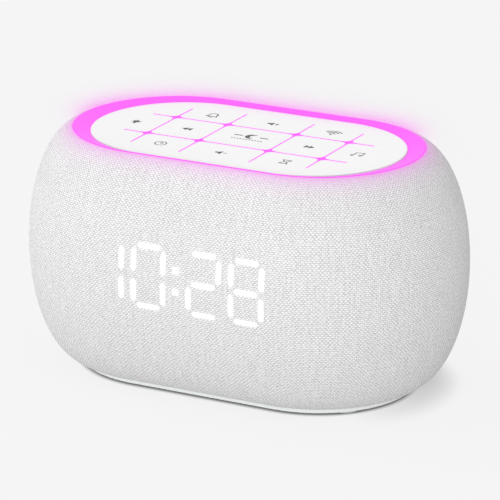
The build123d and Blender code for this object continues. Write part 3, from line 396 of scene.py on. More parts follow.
def make_grain_group(name):
    """Moulded plastic: a fine spark-eroded grain with slow changes of tone and gloss."""
    tree, inputs, outputs = new_group(
        name,
        [("Place", "Vector", None), ("Grain", "Float", 3500.0), ("Depth", "Float", 0.15),
         ("Gloss", "Float", 0.45)],
        FINISH_OUTPUTS)
    grain = noise(tree, inputs["Place"], inputs["Grain"], 3.0)
    slow = noise(tree, inputs["Place"], 55.0, 2.0)
    bump = add(tree, "Bump", {"Height": grain, "Strength": inputs["Depth"], "Distance": 0.05 * MM})
    feed(tree, outputs["Normal"], bump.outputs[0])
    feed(tree, outputs["Roughness"], varied(tree, varied(tree, inputs["Gloss"], slow, 0.12), grain, 0.08))
    feed(tree, outputs["Tone"], varied(tree, 1.0, slow, 0.03))


def make_brushed_group(name):
    """Rolled or turned metal: fine lines along one direction, with brighter and duller streaks."""
    tree, inputs, outputs = new_group(
        name,
        [("Place", "Vector", None), ("Gloss", "Float", 0.35)],
        FINISH_OUTPUTS)
    lines = noise(tree, stretched(tree, inputs["Place"], (300.0, 5000.0, 5000.0)), 1.0, 2.0)
    bump = add(tree, "Bump", {"Height": lines, "Strength": 0.2, "Distance": 0.02 * MM})
    feed(tree, outputs["Normal"], bump.outputs[0])
    feed(tree, outputs["Roughness"], varied(tree, inputs["Gloss"], lines, 0.2))
    feed(tree, outputs["Tone"], varied(tree, 0.995, lines, 0.25))


def make_line_light_group(name):
    """Light that bleeds from the lit lines into the edges of the keys beside them. The gaps between the keys
    are two lines each way about the middle, so the distance to the nearest gap is that of one rounded corner:
    the corner radius less the way to the corner's centre. More light bleeds at the stars where lines cross.
    The lines end where the light guide ends."""
    tree, inputs, outputs = new_group(name, [("Place", "Vector", None)], [("Near", "Float")])
    place = add(tree, "VectorMath", {0: inputs["Place"]}, operation="ABSOLUTE").outputs[0]
    x, y = add(tree, "SeparateXYZ", {0: place}).outputs[:2]
    from_inner = calc(tree, "ABSOLUTE", minus(tree, x, LINE_X_INNER))
    from_outer = calc(tree, "ABSOLUTE", minus(tree, x, LINE_X_OUTER))
    across = calc(tree, "MINIMUM", from_inner, from_outer)
    along = calc(tree, "ABSOLUTE", minus(tree, y, LINE_Y))
    corner = KEY_CORNER + HALF_SLOT
    way_x = calc(tree, "MAXIMUM", minus(tree, corner, across), 0.0)
    way_y = calc(tree, "MAXIMUM", minus(tree, corner, along), 0.0)
    distance = minus(tree, KEY_CORNER, length(tree, way_x, way_y))
    star = calc(tree, "EXPONENT", calc(tree, "DIVIDE", squares(tree, across, along), -STAR_REACH ** 2))
    on_cross_line = calc(tree, "LESS_THAN", along, across)
    bleed = ramp(tree, on_cross_line, 0.0, 1.0, LINE_BLEED, CROSS_LINE_BLEED, smooth=False)
    bleed = calc(tree, "MULTIPLY_ADD", star, STAR_BLEED, bleed)
    near = ramp(tree, distance, times(tree, bleed, 1.6), times(tree, bleed, 0.4))
    is_outer = calc(tree, "GREATER_THAN", x, (LINE_X_INNER + LINE_X_OUTER) / 2)
    end_y = ramp(tree, is_outer, 0.0, 1.0, GUIDE_HIGH.y, ALARM_HIGH.y, smooth=False)
    in_y = calc(tree, "LESS_THAN", y, end_y)
    in_x = calc(tree, "LESS_THAN", x, GUIDE_HIGH.x)
    feed(tree, outputs["Near"], times(tree, near, times(tree, in_x, in_y)))


SHARED_EFFECTS = {"plain_weave": make_weave_group, "moulded_grain": make_grain_group,
                  "drawn_metal": make_brushed_group, "line_light": make_line_light_group}


# ---- materials
def ring_colour():
    """Colour of the ring's light."""
    return tuple(bpy.context.scene.light_settings.ring_colour)


def new_material(name, roughness=0.5, metallic=0.0):
    """A material with a plain Principled shader, ready for its own nodes."""
    material = bpy.data.materials.new(name)
    material.use_nodes = True
    tree = material.node_tree
    surface = tree.nodes["Principled BSDF"].inputs
    surface["Roughness"].default_value = roughness
    surface["Metallic"].default_value = metallic
    return material, tree, surface


def toned(tree, colour, tone):
    """A colour made lighter or darker by a tone."""
    return add(tree, "VectorMath", {0: colour, "Scale": tone}, operation="SCALE").outputs[0]


def finish(tree, surface, effect, colour):
    """Give a surface its colour and the finish of a shared effect."""
    feed(tree, surface["Base Color"], colour)
    feed(tree, surface["Roughness"], effect["Roughness"])
    feed(tree, surface["Normal"], effect["Normal"])


def moulded(name, colour, gloss, grain=3500.0, depth=0.15, specular=0.5):
    """Moulded plastic or rubber of one colour."""
    material, tree, surface = new_material(name)
    effect = use_group(tree, "moulded_grain", Place=object_place(tree), Grain=grain, Depth=depth, Gloss=gloss)
    finish(tree, surface, effect, toned(tree, colour, effect["Tone"]))
    surface["Specular IOR Level"].default_value = specular
    return material


def key_plastic():
    """Milky white plastic with a faint even painted glow, and the lit lines' light painted into the keys'
    edges as colour and glow.
    """
    material, tree, surface = new_material("key_plastic")
    place = object_place(tree)
    effect = use_group(tree, "moulded_grain", Place=place, Grain=4500.0, Depth=0.05, Gloss=0.45)
    near = use_group(tree, "line_light", Place=place)["Near"]
    # Painted light: a faint even glow, and magenta colour and glow at the edges beside the lit lines.
    white = toned(tree, (0.90, 0.90, 0.90), effect["Tone"])
    finish(tree, surface, effect, blend_colour(tree, near, white, (0.35, 0.02, 0.33)))
    edge_glow = tuple(0.8 * part for part in ring_colour())
    feed(tree, surface["Emission Color"], blend_colour(tree, near, (0.10, 0.10, 0.10), edge_glow))
    surface["Emission Strength"].default_value = 1.0
    surface["Specular IOR Level"].default_value = 0.12
    return material


def metal(name, colour, gloss):
    """Plated, rolled or turned metal of one colour."""
    material, tree, surface = new_material(name, metallic=1.0)
    effect = use_group(tree, "drawn_metal", Place=object_place(tree), Gloss=gloss)
    finish(tree, surface, effect, toned(tree, colour, effect["Tone"]))
    return material


def lit_plastic(name, colour, base, level):
    """Milky diffuser lit from inside, a little brighter in slow patches over the lamps. It lights its
    surroundings less than it shows itself."""
    material, tree, surface = new_material(name)
    effect = use_group(tree, "moulded_grain", Place=object_place(tree), Grain=2500.0, Depth=0.05, Gloss=0.35)
    feed(tree, surface["Base Color"], toned(tree, base, effect["Tone"]))
    feed(tree, surface["Roughness"], effect["Roughness"])
    feed(tree, surface["Emission Color"], toned(tree, colour, effect["Tone"]))
    feed(tree, surface["Emission Strength"], ramp(tree, seen_by_eye(tree), 0.0, 1.0, 0.2 * level, level))
    surface["Specular IOR Level"].default_value = 0.03
    return material


def cloth_material():
    """Off-white speaker cloth. The ring's and the clock's light are painted into its colour and glow where
    they would shine through it. A thread is lighter at its crown, a painted highlight, and darker between
    threads, a painted shade, with noise along it (slubs), in small patches (knots) and in its fibres."""
    cloth = bpy.context.scene.cloth_settings
    material, tree, surface = new_material("woven_cloth", roughness=0.9)
    uv = add(tree, "UVMap", uv_map="threads").outputs[0]
    across, along = add(tree, "SeparateXYZ", {0: uv}).outputs[:2]
    weave = use_group(tree, "plain_weave", Across=across, Along=along)
    slub = noise(tree, stretched(tree, uv, (0.9, 0.07, 1.0)), 1.0, 2.0)
    knot = noise(tree, stretched(tree, uv, (0.8, 0.8, 1.0)), 1.0, 1.0)
    fibre = noise(tree, stretched(tree, uv, (4.0, 4.0, 1.0)), 1.0, 3.0)
    # Painted highlight and shade of the weave: lighter where a thread's crown lies, darker in the gaps.
    share = varied(tree, varied(tree, weave["Crown"], slub, SLUB_SHARE), knot, KNOT_SHARE)
    share = calc(tree, "MULTIPLY_ADD", minus(tree, fibre, 0.5), FIBRE_SHARE, share, clamp=True)
    threads = blend_colour(tree, share, tuple(cloth.gap_colour), tuple(cloth.colour))
    plain = toned(tree, threads, varied(tree, 1.0, noise(tree, object_place(tree), 40.0, 1.0), 0.04))
    # Painted ring light: near the top edge the cloth turns magenta and glows, and darker magenta at the rim
    # itself.
    edge_near = add(tree, "Attribute", attribute_name="ring_near").outputs["Fac"]
    rim = calc(tree, "POWER", edge_near, RIM_POWER)
    glow_painted = blend_colour(tree, times(tree, edge_near, RING_LIGHT_PAINT_SHARE), plain, RING_LIGHT_PAINT_COLOUR)
    glow_painted = blend_colour(tree, rim, glow_painted, RIM_LIGHT_PAINT_COLOUR)
    # Painted clock light: under the lit bars the cloth turns pale and glows, with a faint spill of glow
    # beyond.
    clock_near = add(tree, "Attribute", attribute_name="clock_near").outputs["Fac"]
    lit = ramp(tree, clock_near, *CLOCK_EDGE)
    spill = calc(tree, "POWER", calc(tree, "MINIMUM", clock_near, 1.0), 6.0)
    feed(tree, surface["Base Color"], blend_colour(tree, lit, glow_painted, CLOCK_LIGHT_PAINT_COLOUR))
    clock_level = calc(tree, "MULTIPLY_ADD", lit, CLOCK_LIGHT, times(tree, spill, CLOCK_SPILL))
    ring_level = calc(tree, "MULTIPLY_ADD", rim, RIM_GLOW, times(tree, edge_near, RING_GLOW))
    lights = {0: toned(tree, (1, 1, 1), clock_level), 1: toned(tree, ring_colour(), ring_level)}
    feed(tree, surface["Emission Color"], add(tree, "VectorMath", lights, operation="ADD").outputs[0])
    surface["Emission Strength"].default_value = 1.0
    relief = calc(tree, "MULTIPLY_ADD", fibre, 0.25, weave["Height"])
    depth = calc(tree, "MULTIPLY_ADD", lit, -0.6, 0.8)
    bump = add(tree, "Bump", {"Height": relief, "Strength": depth, "Distance": WEAVE_RELIEF})
    feed(tree, surface["Normal"], bump.outputs[0])
    surface["Sheen Weight"].default_value = 0.15
    surface["Sheen Roughness"].default_value = 0.5
    return material


def board_material():
    """Green circuit board with darker tracks under the mask."""
    material, tree, surface = new_material("circuit_board")
    place = object_place(tree)
    tracks = add(tree, "TexBrick", {"Vector": place, "Scale": 260.0, "Mortar Size": 0.02, "Brick Width": 0.9,
                                    "Row Height": 0.35, "Color1": (0.012, 0.10, 0.035, 1),
                                    "Color2": (0.02, 0.15, 0.05, 1), "Mortar": (0.05, 0.26, 0.09, 1)})
    effect = use_group(tree, "moulded_grain", Place=place, Grain=1500.0, Depth=0.05, Gloss=0.32)
    finish(tree, surface, effect, tracks.outputs["Color"])
    return material


# ---- surfaces
def give_mesh(name, points, faces, material, body):
    """A finished piece from points and faces, on its body, with its material and slot."""
    mesh = bpy.data.meshes.new(name)
    mesh.from_pydata(points.tolist(), [], faces.tolist())
    mesh.materials.append(material)
    piece = show(bpy.data.objects.new(name, mesh))
    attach(piece, body)
    return piece


def stadium_columns(radius_of_weave):
    """Places round the stadium, as (spine x, heading, run): heading is the outward direction, and run the
    distance along the cloth at its widest. They start and end at the seam, at the middle of the back."""
    half_round = math.pi * radius_of_weave
    near_seam = np.array([0.0, 0.25, 0.5, 0.8, 1.2, 1.8]) * MM
    back = np.concatenate([near_seam, np.arange(3 * MM, HALF_STRAIGHT, COLUMN_STEP)])
    fine_angle = np.arcsin(max(0.0, SHADE_HIGH.x + GLOW_REACH - HALF_STRAIGHT) / radius_of_weave)
    arc_fine = np.arange(0, fine_angle, FINE_STEP / radius_of_weave)
    coarse_count = int((math.pi - fine_angle) * radius_of_weave / COLUMN_STEP) + 1
    arc_coarse = np.linspace(fine_angle, math.pi, coarse_count)
    right = np.concatenate([arc_fine, arc_coarse[:-1]])
    left = right[::-1]
    front = np.linspace(-HALF_STRAIGHT, HALF_STRAIGHT, int(2 * HALF_STRAIGHT / FINE_STEP) + 1)[1:-1]
    stretches = (
        (-back, math.pi / 2, back),
        (-HALF_STRAIGHT, 3 * math.pi / 2 - left, HALF_STRAIGHT + half_round - left * radius_of_weave),
        (front, 3 * math.pi / 2, HALF_STRAIGHT * 2 + half_round + front),
        (HALF_STRAIGHT, 3 * math.pi / 2 + right, 3 * HALF_STRAIGHT + half_round + right * radius_of_weave),
        (back[::-1], 5 * math.pi / 2, 4 * HALF_STRAIGHT + 2 * half_round - back[::-1]))
    return [np.concatenate(column) for column in zip(*(np.broadcast_arrays(*part) for part in stretches))]


def run_along(x, y):
    """Distance travelled along a path, at each of its points."""
    return np.concatenate([[0], np.cumsum(np.hypot(np.diff(x), np.diff(y)))])


def cloth_profile():
    """Section of the cloth from its hem under the body to its rolled top edge: (radius, height, run).
    The side is half an ellipse; the top edge rolls over a small radius and tucks down beside the ring."""
    clock_low = SHADE_LOW.z - GLOW_REACH
    clock_high = SHADE_HIGH.z + GLOW_REACH
    lower_half = SIDE_HALF_HEIGHT - HEM_LIFT
    turn = np.linspace(-math.pi / 2, math.pi / 2, SIDE_SAMPLES)
    radius = END_RADIUS + SIDE_BULGE * np.cos(turn)
    height = SIDE_MID + np.where(turn < 0, lower_half, SIDE_HALF_HEIGHT) * np.sin(turn)
    normal = np.arctan2(np.sin(turn) / SIDE_HALF_HEIGHT, np.cos(turn) / SIDE_BULGE)
    inward = radius - EDGE_ROLL * np.cos(normal) - EDGE_ROLL
    last = np.nonzero(inward >= RING_RADIUS + RIM_GAP)[0][-1]
    radius, height, start = radius[:last], height[:last], normal[last]
    hub = (radius[-1] - EDGE_ROLL * math.cos(start), height[-1] - EDGE_ROLL * math.sin(start))
    roll = np.linspace(start, math.pi, 7)[1:]
    edge_radius = np.append(hub[0] + EDGE_ROLL * np.cos(roll), hub[0] - EDGE_ROLL)
    edge_height = np.append(hub[1] + EDGE_ROLL * np.sin(roll), hub[1] - EDGE_TUCK)
    run = run_along(radius, height)
    step = np.where((height > clock_low) & (height < clock_high), FINE_STEP, ROW_STEP)
    step = np.where(height > height[-1] - EDGE_ZONE, EDGE_STEP, step)
    count = np.concatenate([[0], np.cumsum(np.diff(run) / step[1:])])
    picked = np.interp(np.linspace(0, count[-1], int(count[-1]) + 2), count, run)
    hem = np.linspace(END_RADIUS - HEM_DEPTH, END_RADIUS, HEM_ROWS + 1)[:-1]
    full_radius = np.concatenate([hem, np.interp(picked, run, radius), edge_radius])
    full_height = np.concatenate([np.full(len(hem), height[0]), np.interp(picked, run, height), edge_height])
    return full_radius, full_height, run_along(full_radius, full_height)


def bar_nearness(x, z):
    """How near each place is to the lit bars and dots: 1 at a bar's edge, more inside, 0 beyond the reach.
    A bar is a six-sided outline, and its distance is the largest of the distances to its sides."""
    best = np.full(x.shape, np.inf)
    for centre, marks in zip(DIGIT_CENTRES, LIT_SEGMENTS):
        for mark in marks:
            across, up, turn = SEGMENTS[mark]
            half = (DIGIT_HALF_PITCH if turn else DIGIT_WIDTH) / 2 - BAR_GAP
            dx = np.abs(x - CLOCK_MIDDLE[0] - centre - across * DIGIT_WIDTH)
            dz = np.abs(z - CLOCK_MIDDLE[1] - up * DIGIT_HALF_PITCH)
            along, beside = (dz, dx) if turn else (dx, dz)
            tip = (along + beside - half) / math.sqrt(2)
            best = np.minimum(best, np.maximum(beside - BAR_WIDTH / 2, tip))
    for side in (-1, 1):
        dx = np.abs(x - CLOCK_MIDDLE[0])
        dz = np.abs(z - CLOCK_MIDDLE[1] - side * COLON_HALF_PITCH)
        best = np.minimum(best, np.maximum(dx, dz) - COLON_SIDE / 2)
    return np.maximum(0.0, 1 - best / GLOW_REACH)


def port_outline_share(x, z):
    """Where a place lies between the port's middle (0) and the cloth's cut edge under the bezel (1):
    a rounded box, as the fourth-power sum of its two shares."""
    half_x = (PORT_HIGH.x - PORT_LOW.x) / 2 - PORT_COVER
    half_z = (PORT_HIGH.z - PORT_LOW.z) / 2 - PORT_COVER
    middle_x = (PORT_LOW.x + PORT_HIGH.x) / 2
    middle_z = (PORT_LOW.z + PORT_HIGH.z) / 2
    share_x = (x - middle_x) / half_x
    share_z = (z - middle_z) / half_z
    return (share_x ** 4 + share_z ** 4) ** 0.25, middle_x, middle_z


def cloth_surface():
    """The cover as a grid: the profile carried round the stadium, with a shallow seam at the back and the
    port cut out. Returns points, faces, thread coordinates, nearness to the clock's bars and distance from
    the top edge."""
    radius, height, profile_run = cloth_profile()
    spine, heading, round_run = stadium_columns(END_RADIUS + SIDE_BULGE)
    seam_shape = np.exp(-(np.minimum(round_run, round_run[-1] - round_run) / SEAM_HALF_WIDTH) ** 2)
    out = radius[None, :] - SEAM_DEPTH * seam_shape[:, None]
    x = spine[:, None] + np.cos(heading)[:, None] * out
    y = np.sin(heading)[:, None] * out
    z = np.broadcast_to(height, x.shape).copy()
    columns, rows = x.shape
    share, middle_x, middle_z = port_outline_share(x, z)
    at_back = (y > 0) & (np.abs(x) < HALF_STRAIGHT)
    cut = at_back & (share < 1)
    column = np.arange(columns - 1)[:, None]
    row = np.arange(rows - 1)[None, :]
    corner = column * rows + row
    faces = np.stack([corner, corner + rows, corner + rows + 1, corner + 1], axis=-1).reshape(-1, 4)
    inside = cut.ravel()[faces].sum(1) >= 3
    kept = faces[~inside]
    rim = np.intersect1d(np.unique(faces[inside]), np.unique(kept))
    flat_x, flat_y, flat_z = x.ravel(), y.ravel(), z.ravel()
    pull = 1 / share.ravel()[rim]
    flat_x[rim] = middle_x + (flat_x[rim] - middle_x) * pull
    flat_z[rim] = middle_z + (flat_z[rim] - middle_z) * pull
    side = slice(HEM_ROWS, int(np.argmax(height)))
    flat_y[rim] = np.interp(flat_z[rim], height[side], radius[side])
    points = np.stack([flat_x, flat_y, flat_z], axis=1)
    clock_near = np.where(flat_y < 0, bar_nearness(flat_x, flat_z), 0.0)
    from_top = np.broadcast_to(profile_run[-1] - profile_run, x.shape).ravel()
    pitch = bpy.context.scene.cloth_settings.thread_pitch
    pairs = round(round_run[-1] / (2 * pitch))
    across = np.broadcast_to((round_run / round_run[-1] * 2 * pairs)[:, None], x.shape).ravel()
    along = np.broadcast_to(profile_run / pitch, x.shape).ravel()
    return points, kept, np.stack([across, along], axis=1), clock_near, from_top


def trimmed(points, faces, *values):
    """Leave out the points that no face uses."""
    used, index = np.unique(faces, return_inverse=True)
    return points[used], index.reshape(faces.shape), [value[used] for value in values]


def add_point_values(mesh, name, values):
    """Store one number for each point of a mesh."""
    mesh.attributes.new(name, "FLOAT", "POINT").data.foreach_set("value", values.astype(np.float32))


# ---- operators
class MakeFabricCover(bpy.types.Operator):
    """Make the woven cover, with its rolled top edge, seam and port cut-out"""
    bl_idname = "soundmachine.fabric_cover"
    bl_label = "Fabric cover"

    def execute(self, context):
        points, faces, (threads, clock_near, from_top) = trimmed(*cloth_surface())
        piece = give_mesh("fabric_cover", points, faces, cloth_material(), "machine")
        mesh = piece.data
        add_point_values(mesh, "clock_near", clock_near)
        from_edge = np.maximum(0, from_top - EDGE_TUCK - EDGE_ROLL)
        add_point_values(mesh, "ring_near", np.exp(-from_edge / RING_GLOW_REACH))
        layer = mesh.uv_layers.new(name="threads")
        corners = np.zeros(len(mesh.loops), np.int32)
        mesh.loops.foreach_get("vertex_index", corners)
        layer.data.foreach_set("uv", threads[corners].astype(np.float32).ravel())
        mesh.shade_smooth()
        shell = piece.modifiers.new("cloth_thickness", "SOLIDIFY")
        shell.thickness = SHEET_THICK
        shell.offset = -1.0
        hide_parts("fabric_sleeve")
        return {"FINISHED"}


class MakeKeySymbols(bpy.types.Operator):
    """Print the plain symbols on the keys"""
    bl_idname = "soundmachine.key_symbols"
    bl_label = "Key symbols"

    def execute(self, context):
        ink = moulded("symbol_ink", (0.075, 0.075, 0.08), 0.5, depth=0.05)
        for name, (centre, strips) in key_symbols().items():
            points, faces = inlays(strips, centre)
            give_mesh("symbol_" + name, points, faces, ink, name + "_key")
        return {"FINISHED"}


class FinishParts(bpy.types.Operator):
    """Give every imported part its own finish"""
    bl_idname = "soundmachine.finish_parts"
    bl_label = "Finishes"

    def execute(self, context):
        finishes = part_finishes()
        slots = {row["node"]: row["material_slot"] for row in frame["record"]["subparts"]}
        for node, part in frame["nodes"].items():
            part.data.materials.clear()
            part.data.materials.append(finishes[slots[node]])
        return {"FINISHED"}


class SetStage(bpy.types.Operator):
    """Set the floor, the lamps, the glow in the air and the camera"""
    bl_idname = "soundmachine.stage"
    bl_label = "Stage"

    def execute(self, context):
        make_floor()
        make_world()
        make_lamps()
        make_halo()
        make_camera()
        context.scene.view_settings.view_transform = "Standard"
        return {"FINISHED"}


# ---- key symbols
def inlays(strips, centre):
    """Thin closed slabs on the key top. Each strip is a pair of edges of equal length; its top is the
    ruled surface between them, and walls and a bottom close it."""
    points, faces, first = [], [], 0
    for edge_a, edge_b, closed in strips:
        count = len(edge_a)
        flat = np.concatenate([edge_a, edge_b]) * MM + np.array(centre) * MM
        top = np.column_stack([flat, np.full(2 * count, KEY_TOP + INK_RISE)])
        bottom = np.column_stack([flat, np.full(2 * count, KEY_TOP - INK_SINK)])
        points += [top, bottom]
        here = np.arange(count if closed else count - 1)
        there = (here + 1) % count
        a, b, low = here, here + count, 2 * count
        a2, b2 = there, there + count
        quads = [np.stack([a, a2, b2, b], 1), np.stack([b + low, b2 + low, a2 + low, a + low], 1),
                 np.stack([a + low, a2 + low, a2, a], 1), np.stack([b, b2, b2 + low, b + low], 1)]
        if not closed:
            end = count - 1
            quads.append(np.array([[0, count, count + low, low]]))
            quads.append(np.array([[end, end + low, end + count + low, end + count]]))
        faces.append(np.concatenate(quads) + first)
        first += 4 * count
    return np.concatenate(points), np.concatenate(faces)


def way_at(turn):
    """Unit ways at one or more angles, in radians."""
    return np.stack([np.cos(turn), np.sin(turn)], axis=-1)


def line(points, width, closed=False):
    """A stroke of even width along straight runs, as its two edges, mitred at the corners."""
    path = np.array(points, float)
    if closed:
        before, after = path - np.roll(path, 1, 0), np.roll(path, -1, 0) - path
    else:
        runs = np.diff(path, axis=0)
        before, after = np.vstack([runs[:1], runs]), np.vstack([runs, runs[-1:]])
    before = before / np.linalg.norm(before, axis=1)[:, None]
    after = after / np.linalg.norm(after, axis=1)[:, None]
    side = before + after
    side = side / np.linalg.norm(side, axis=1)[:, None]
    across = np.column_stack([-side[:, 1], side[:, 0]])
    stretch = 1 / np.maximum(0.5, (across * np.column_stack([-before[:, 1], before[:, 0]])).sum(1))
    step = across * (width / 2 * stretch)[:, None]
    return path - step, path + step, closed


def arc(centre, radius, start, end, width, count=24):
    """A stroke along an arc, angles in degrees."""
    way = way_at(np.radians(np.linspace(start, end, count)))
    return centre + way * (radius + width / 2), centre + way * (radius - width / 2), False


def ring_line(centre, radius, width, count=36):
    """A closed round stroke."""
    way = way_at(np.arange(count) / count * 2 * math.pi)
    return centre + way * (radius + width / 2), centre + way * (radius - width / 2), True


def dot(centre, radius, count=12):
    """A filled disc, ruled between its two halves."""
    way = way_at(np.linspace(0, math.pi, count)) * radius
    return way * (1, -1) + centre, way + centre, False


def mirrored(upper):
    """A filled shape between an upper edge, given point by point, and its image below."""
    upper = np.array(upper)
    return upper * (1, -1), upper, False


def speaker_symbol():
    """Small loudspeaker: a box and a cone, filled."""
    return [mirrored([(-2.0, 0.5), (-1.2, 0.5), (0.1, 1.4)])]


def sized(strips, scale):
    """The same strips, larger or smaller about the symbol's middle."""
    return [(edge_a * scale, edge_b * scale, closed) for edge_a, edge_b, closed in strips]


def key_symbols():
    """Symbol of each key: its centre on the panel and its strips about that centre, in millimetres."""
    stroke = 0.4
    bell_half = np.array([(0.4, 2.2), (1.1, 1.85), (1.5, 1.1), (1.65, -0.7), (2.0, -1.4)])
    bell = np.vstack([bell_half[::-1], bell_half * (-1, 1)])
    foot, bulb = (0, -1.9), (0, 0.5)
    rays = way_at(np.radians([-10, 35, 90, 145, 190]))
    volume = sized(speaker_symbol(), 1.1) + [line([(0.7, 0), (2.1, 0)], stroke)]
    glass = np.array([(1.2, 1.9), (1.2, 1.3), (0.25, 0), (1.2, -1.3), (1.2, -1.9)])
    return {
        "alarm": ((-22.2, 17.8), sized([
            line(bell, 0.5, closed=True), arc((0, -1.6), 0.7, 200, 340, stroke, 10)], 0.95)),
        "volume_up": ((0.45, 18.0), volume + [line([(1.4, -0.8), (1.4, 0.8)], stroke)]),
        "wireless": ((22.7, 17.7), [dot(foot, 0.5)] + [
            arc(foot, radius, 42, 138, 0.55, 20) for radius in (1.6, 2.8, 4.0)]),
        "light": ((-41.7, -0.8), sized([
            dot(bulb, 1.3, 16), line([(0, -0.5), (0, -1.8)], 1.1)] + [
            line([bulb + 1.55 * ray, bulb + 2.0 * ray], 0.5) for ray in rays], 0.9)),
        "previous": ((-22.5, -0.2), [
            mirrored([(-1.9, 0.0), (0.0, 1.4)]), mirrored([(-0.3, 0.0), (1.7, 1.4)])]),
        "next": ((22.8, -0.35), [
            mirrored([(-1.7, 1.4), (0.3, 0.0)]), mirrored([(0.0, 1.4), (1.9, 0.0)])]),
        "music": ((40.5, -0.45), sized([
            dot((-1.7, -1.7), 0.65), dot((1.3, -1.3), 0.65),
            line([(-1.2, -1.7), (-1.2, 1.6), (1.8, 2.0), (1.8, -1.3)], 0.45)], 0.93)),
        "clock": ((-22.4, -19.0), [
            ring_line((0, 0), 1.95, stroke), line([(0, 1.2), (0, 0), (0.9, 0.5)], stroke)]),
        "volume_down": ((0.15, -19.3), volume),
        "timer": ((23.15, -18.8), [
            line([(-1.7, 1.9), (1.7, 1.9)], stroke), line([(-1.7, -1.9), (1.7, -1.9)], stroke),
            line(glass * (-1, 1), stroke), line(glass, stroke)]),
        "snooze": ((0.6, 0.4), moon_symbol() + [
            line([(side * 3.2, 1.0), (side * 6.3, 1.0)], 0.7) for side in (-1, 1)] + [
            dot((x, -2.6), 0.35, 8) for x in np.linspace(-5.4, 5.4, 11)]),
    }


def moon_symbol():
    """Crescent between a round outer edge and a shallower inner one."""
    radius, outer_tip, inner_tip = 2.3, 50, 80
    edge_a = way_at(np.radians(np.linspace(outer_tip, 360 - outer_tip, 32))) * radius + (0.2, 1.0)
    scale = radius * math.sin(math.radians(outer_tip)) / math.sin(math.radians(inner_tip))
    edge_b = way_at(np.radians(np.linspace(inner_tip, 360 - inner_tip, 32))) * scale
    return [(edge_a, edge_b + edge_a[0] - edge_b[0], False)]


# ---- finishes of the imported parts
# Moulded finishes: colour and gloss of each slot, and what differs from the usual grain.
MOULDED = {
    "cloth": ((0.8, 0.8, 0.79), 0.9, {}),
    "shell_plastic": ((0.80, 0.80, 0.79), 0.5, {}),
    "base_plastic": ((0.87, 0.90, 0.88), 0.38, {}),
    "frame_plastic": ((0.72, 0.72, 0.71), 0.55, {}),
    "foot_rubber": ((0.60, 0.60, 0.59), 0.75, {"grain": 1800.0, "depth": 0.4, "specular": 0.3}),
    "led_plastic": ((0.90, 0.88, 0.75), 0.15, {"depth": 0.03}),
    "dark_plastic": ((0.035, 0.035, 0.04), 0.6, {}),
    "switch_plastic": ((0.08, 0.08, 0.08), 0.45, {}),
    "dark_diffuser": ((0.35, 0.35, 0.36), 0.25, {"depth": 0.03}),
    "basket_steel": ((0.06, 0.06, 0.065), 0.4, {"grain": 2200.0, "depth": 0.1}),
    "ferrite": ((0.09, 0.09, 0.09), 0.7, {"grain": 900.0, "depth": 0.5}),
    "cone_paper": ((0.05, 0.05, 0.055), 0.8, {"grain": 1200.0, "depth": 0.6}),
    "surround_rubber": ((0.03, 0.03, 0.03), 0.55, {}),
    "spider_cloth": ((0.62, 0.42, 0.18), 0.85, {"grain": 1600.0, "depth": 0.8}),
    "foam": ((0.07, 0.07, 0.07), 0.95, {"grain": 1500.0, "depth": 1.0}),
    "chip_plastic": ((0.045, 0.045, 0.045), 0.5, {}),
    "bezel_plastic": ((0.84, 0.84, 0.83), 0.45, {}),
    "cable_plastic": ((0.70, 0.70, 0.71), 0.5, {}),
}

# Metal finishes: colour and gloss of each slot.
METALS = {
    "screw_steel": ((0.55, 0.55, 0.56), 0.3),
    "cell_steel": ((0.70, 0.70, 0.70), 0.22),
    "contact_metal": ((0.74, 0.70, 0.60), 0.28),
    "copper": ((0.72, 0.38, 0.20), 0.3),
    "socket_steel": ((0.62, 0.62, 0.63), 0.25),
}


def part_finishes():
    """One material for each of the record's slots."""
    finishes = {
        "circuit_board": board_material(),
        "key_plastic": key_plastic(),
        "ring_diffuser": lit_plastic("ring_diffuser", ring_colour(), (0.35, 0.06, 0.32), 0.72),
        "line_diffuser": lit_plastic("line_diffuser", ring_colour(), (0.35, 0.015, 0.32), 0.85),
        "lit_diffuser": lit_plastic("lit_diffuser", (1.0, 1.0, 1.0), (0.8, 0.8, 0.8), 0.8),
    }
    for slot, (colour, gloss, grain) in MOULDED.items():
        finishes[slot] = moulded(slot, colour, gloss, **grain)
    for slot, (colour, gloss) in METALS.items():
        finishes[slot] = metal(slot, colour, gloss)
    return finishes


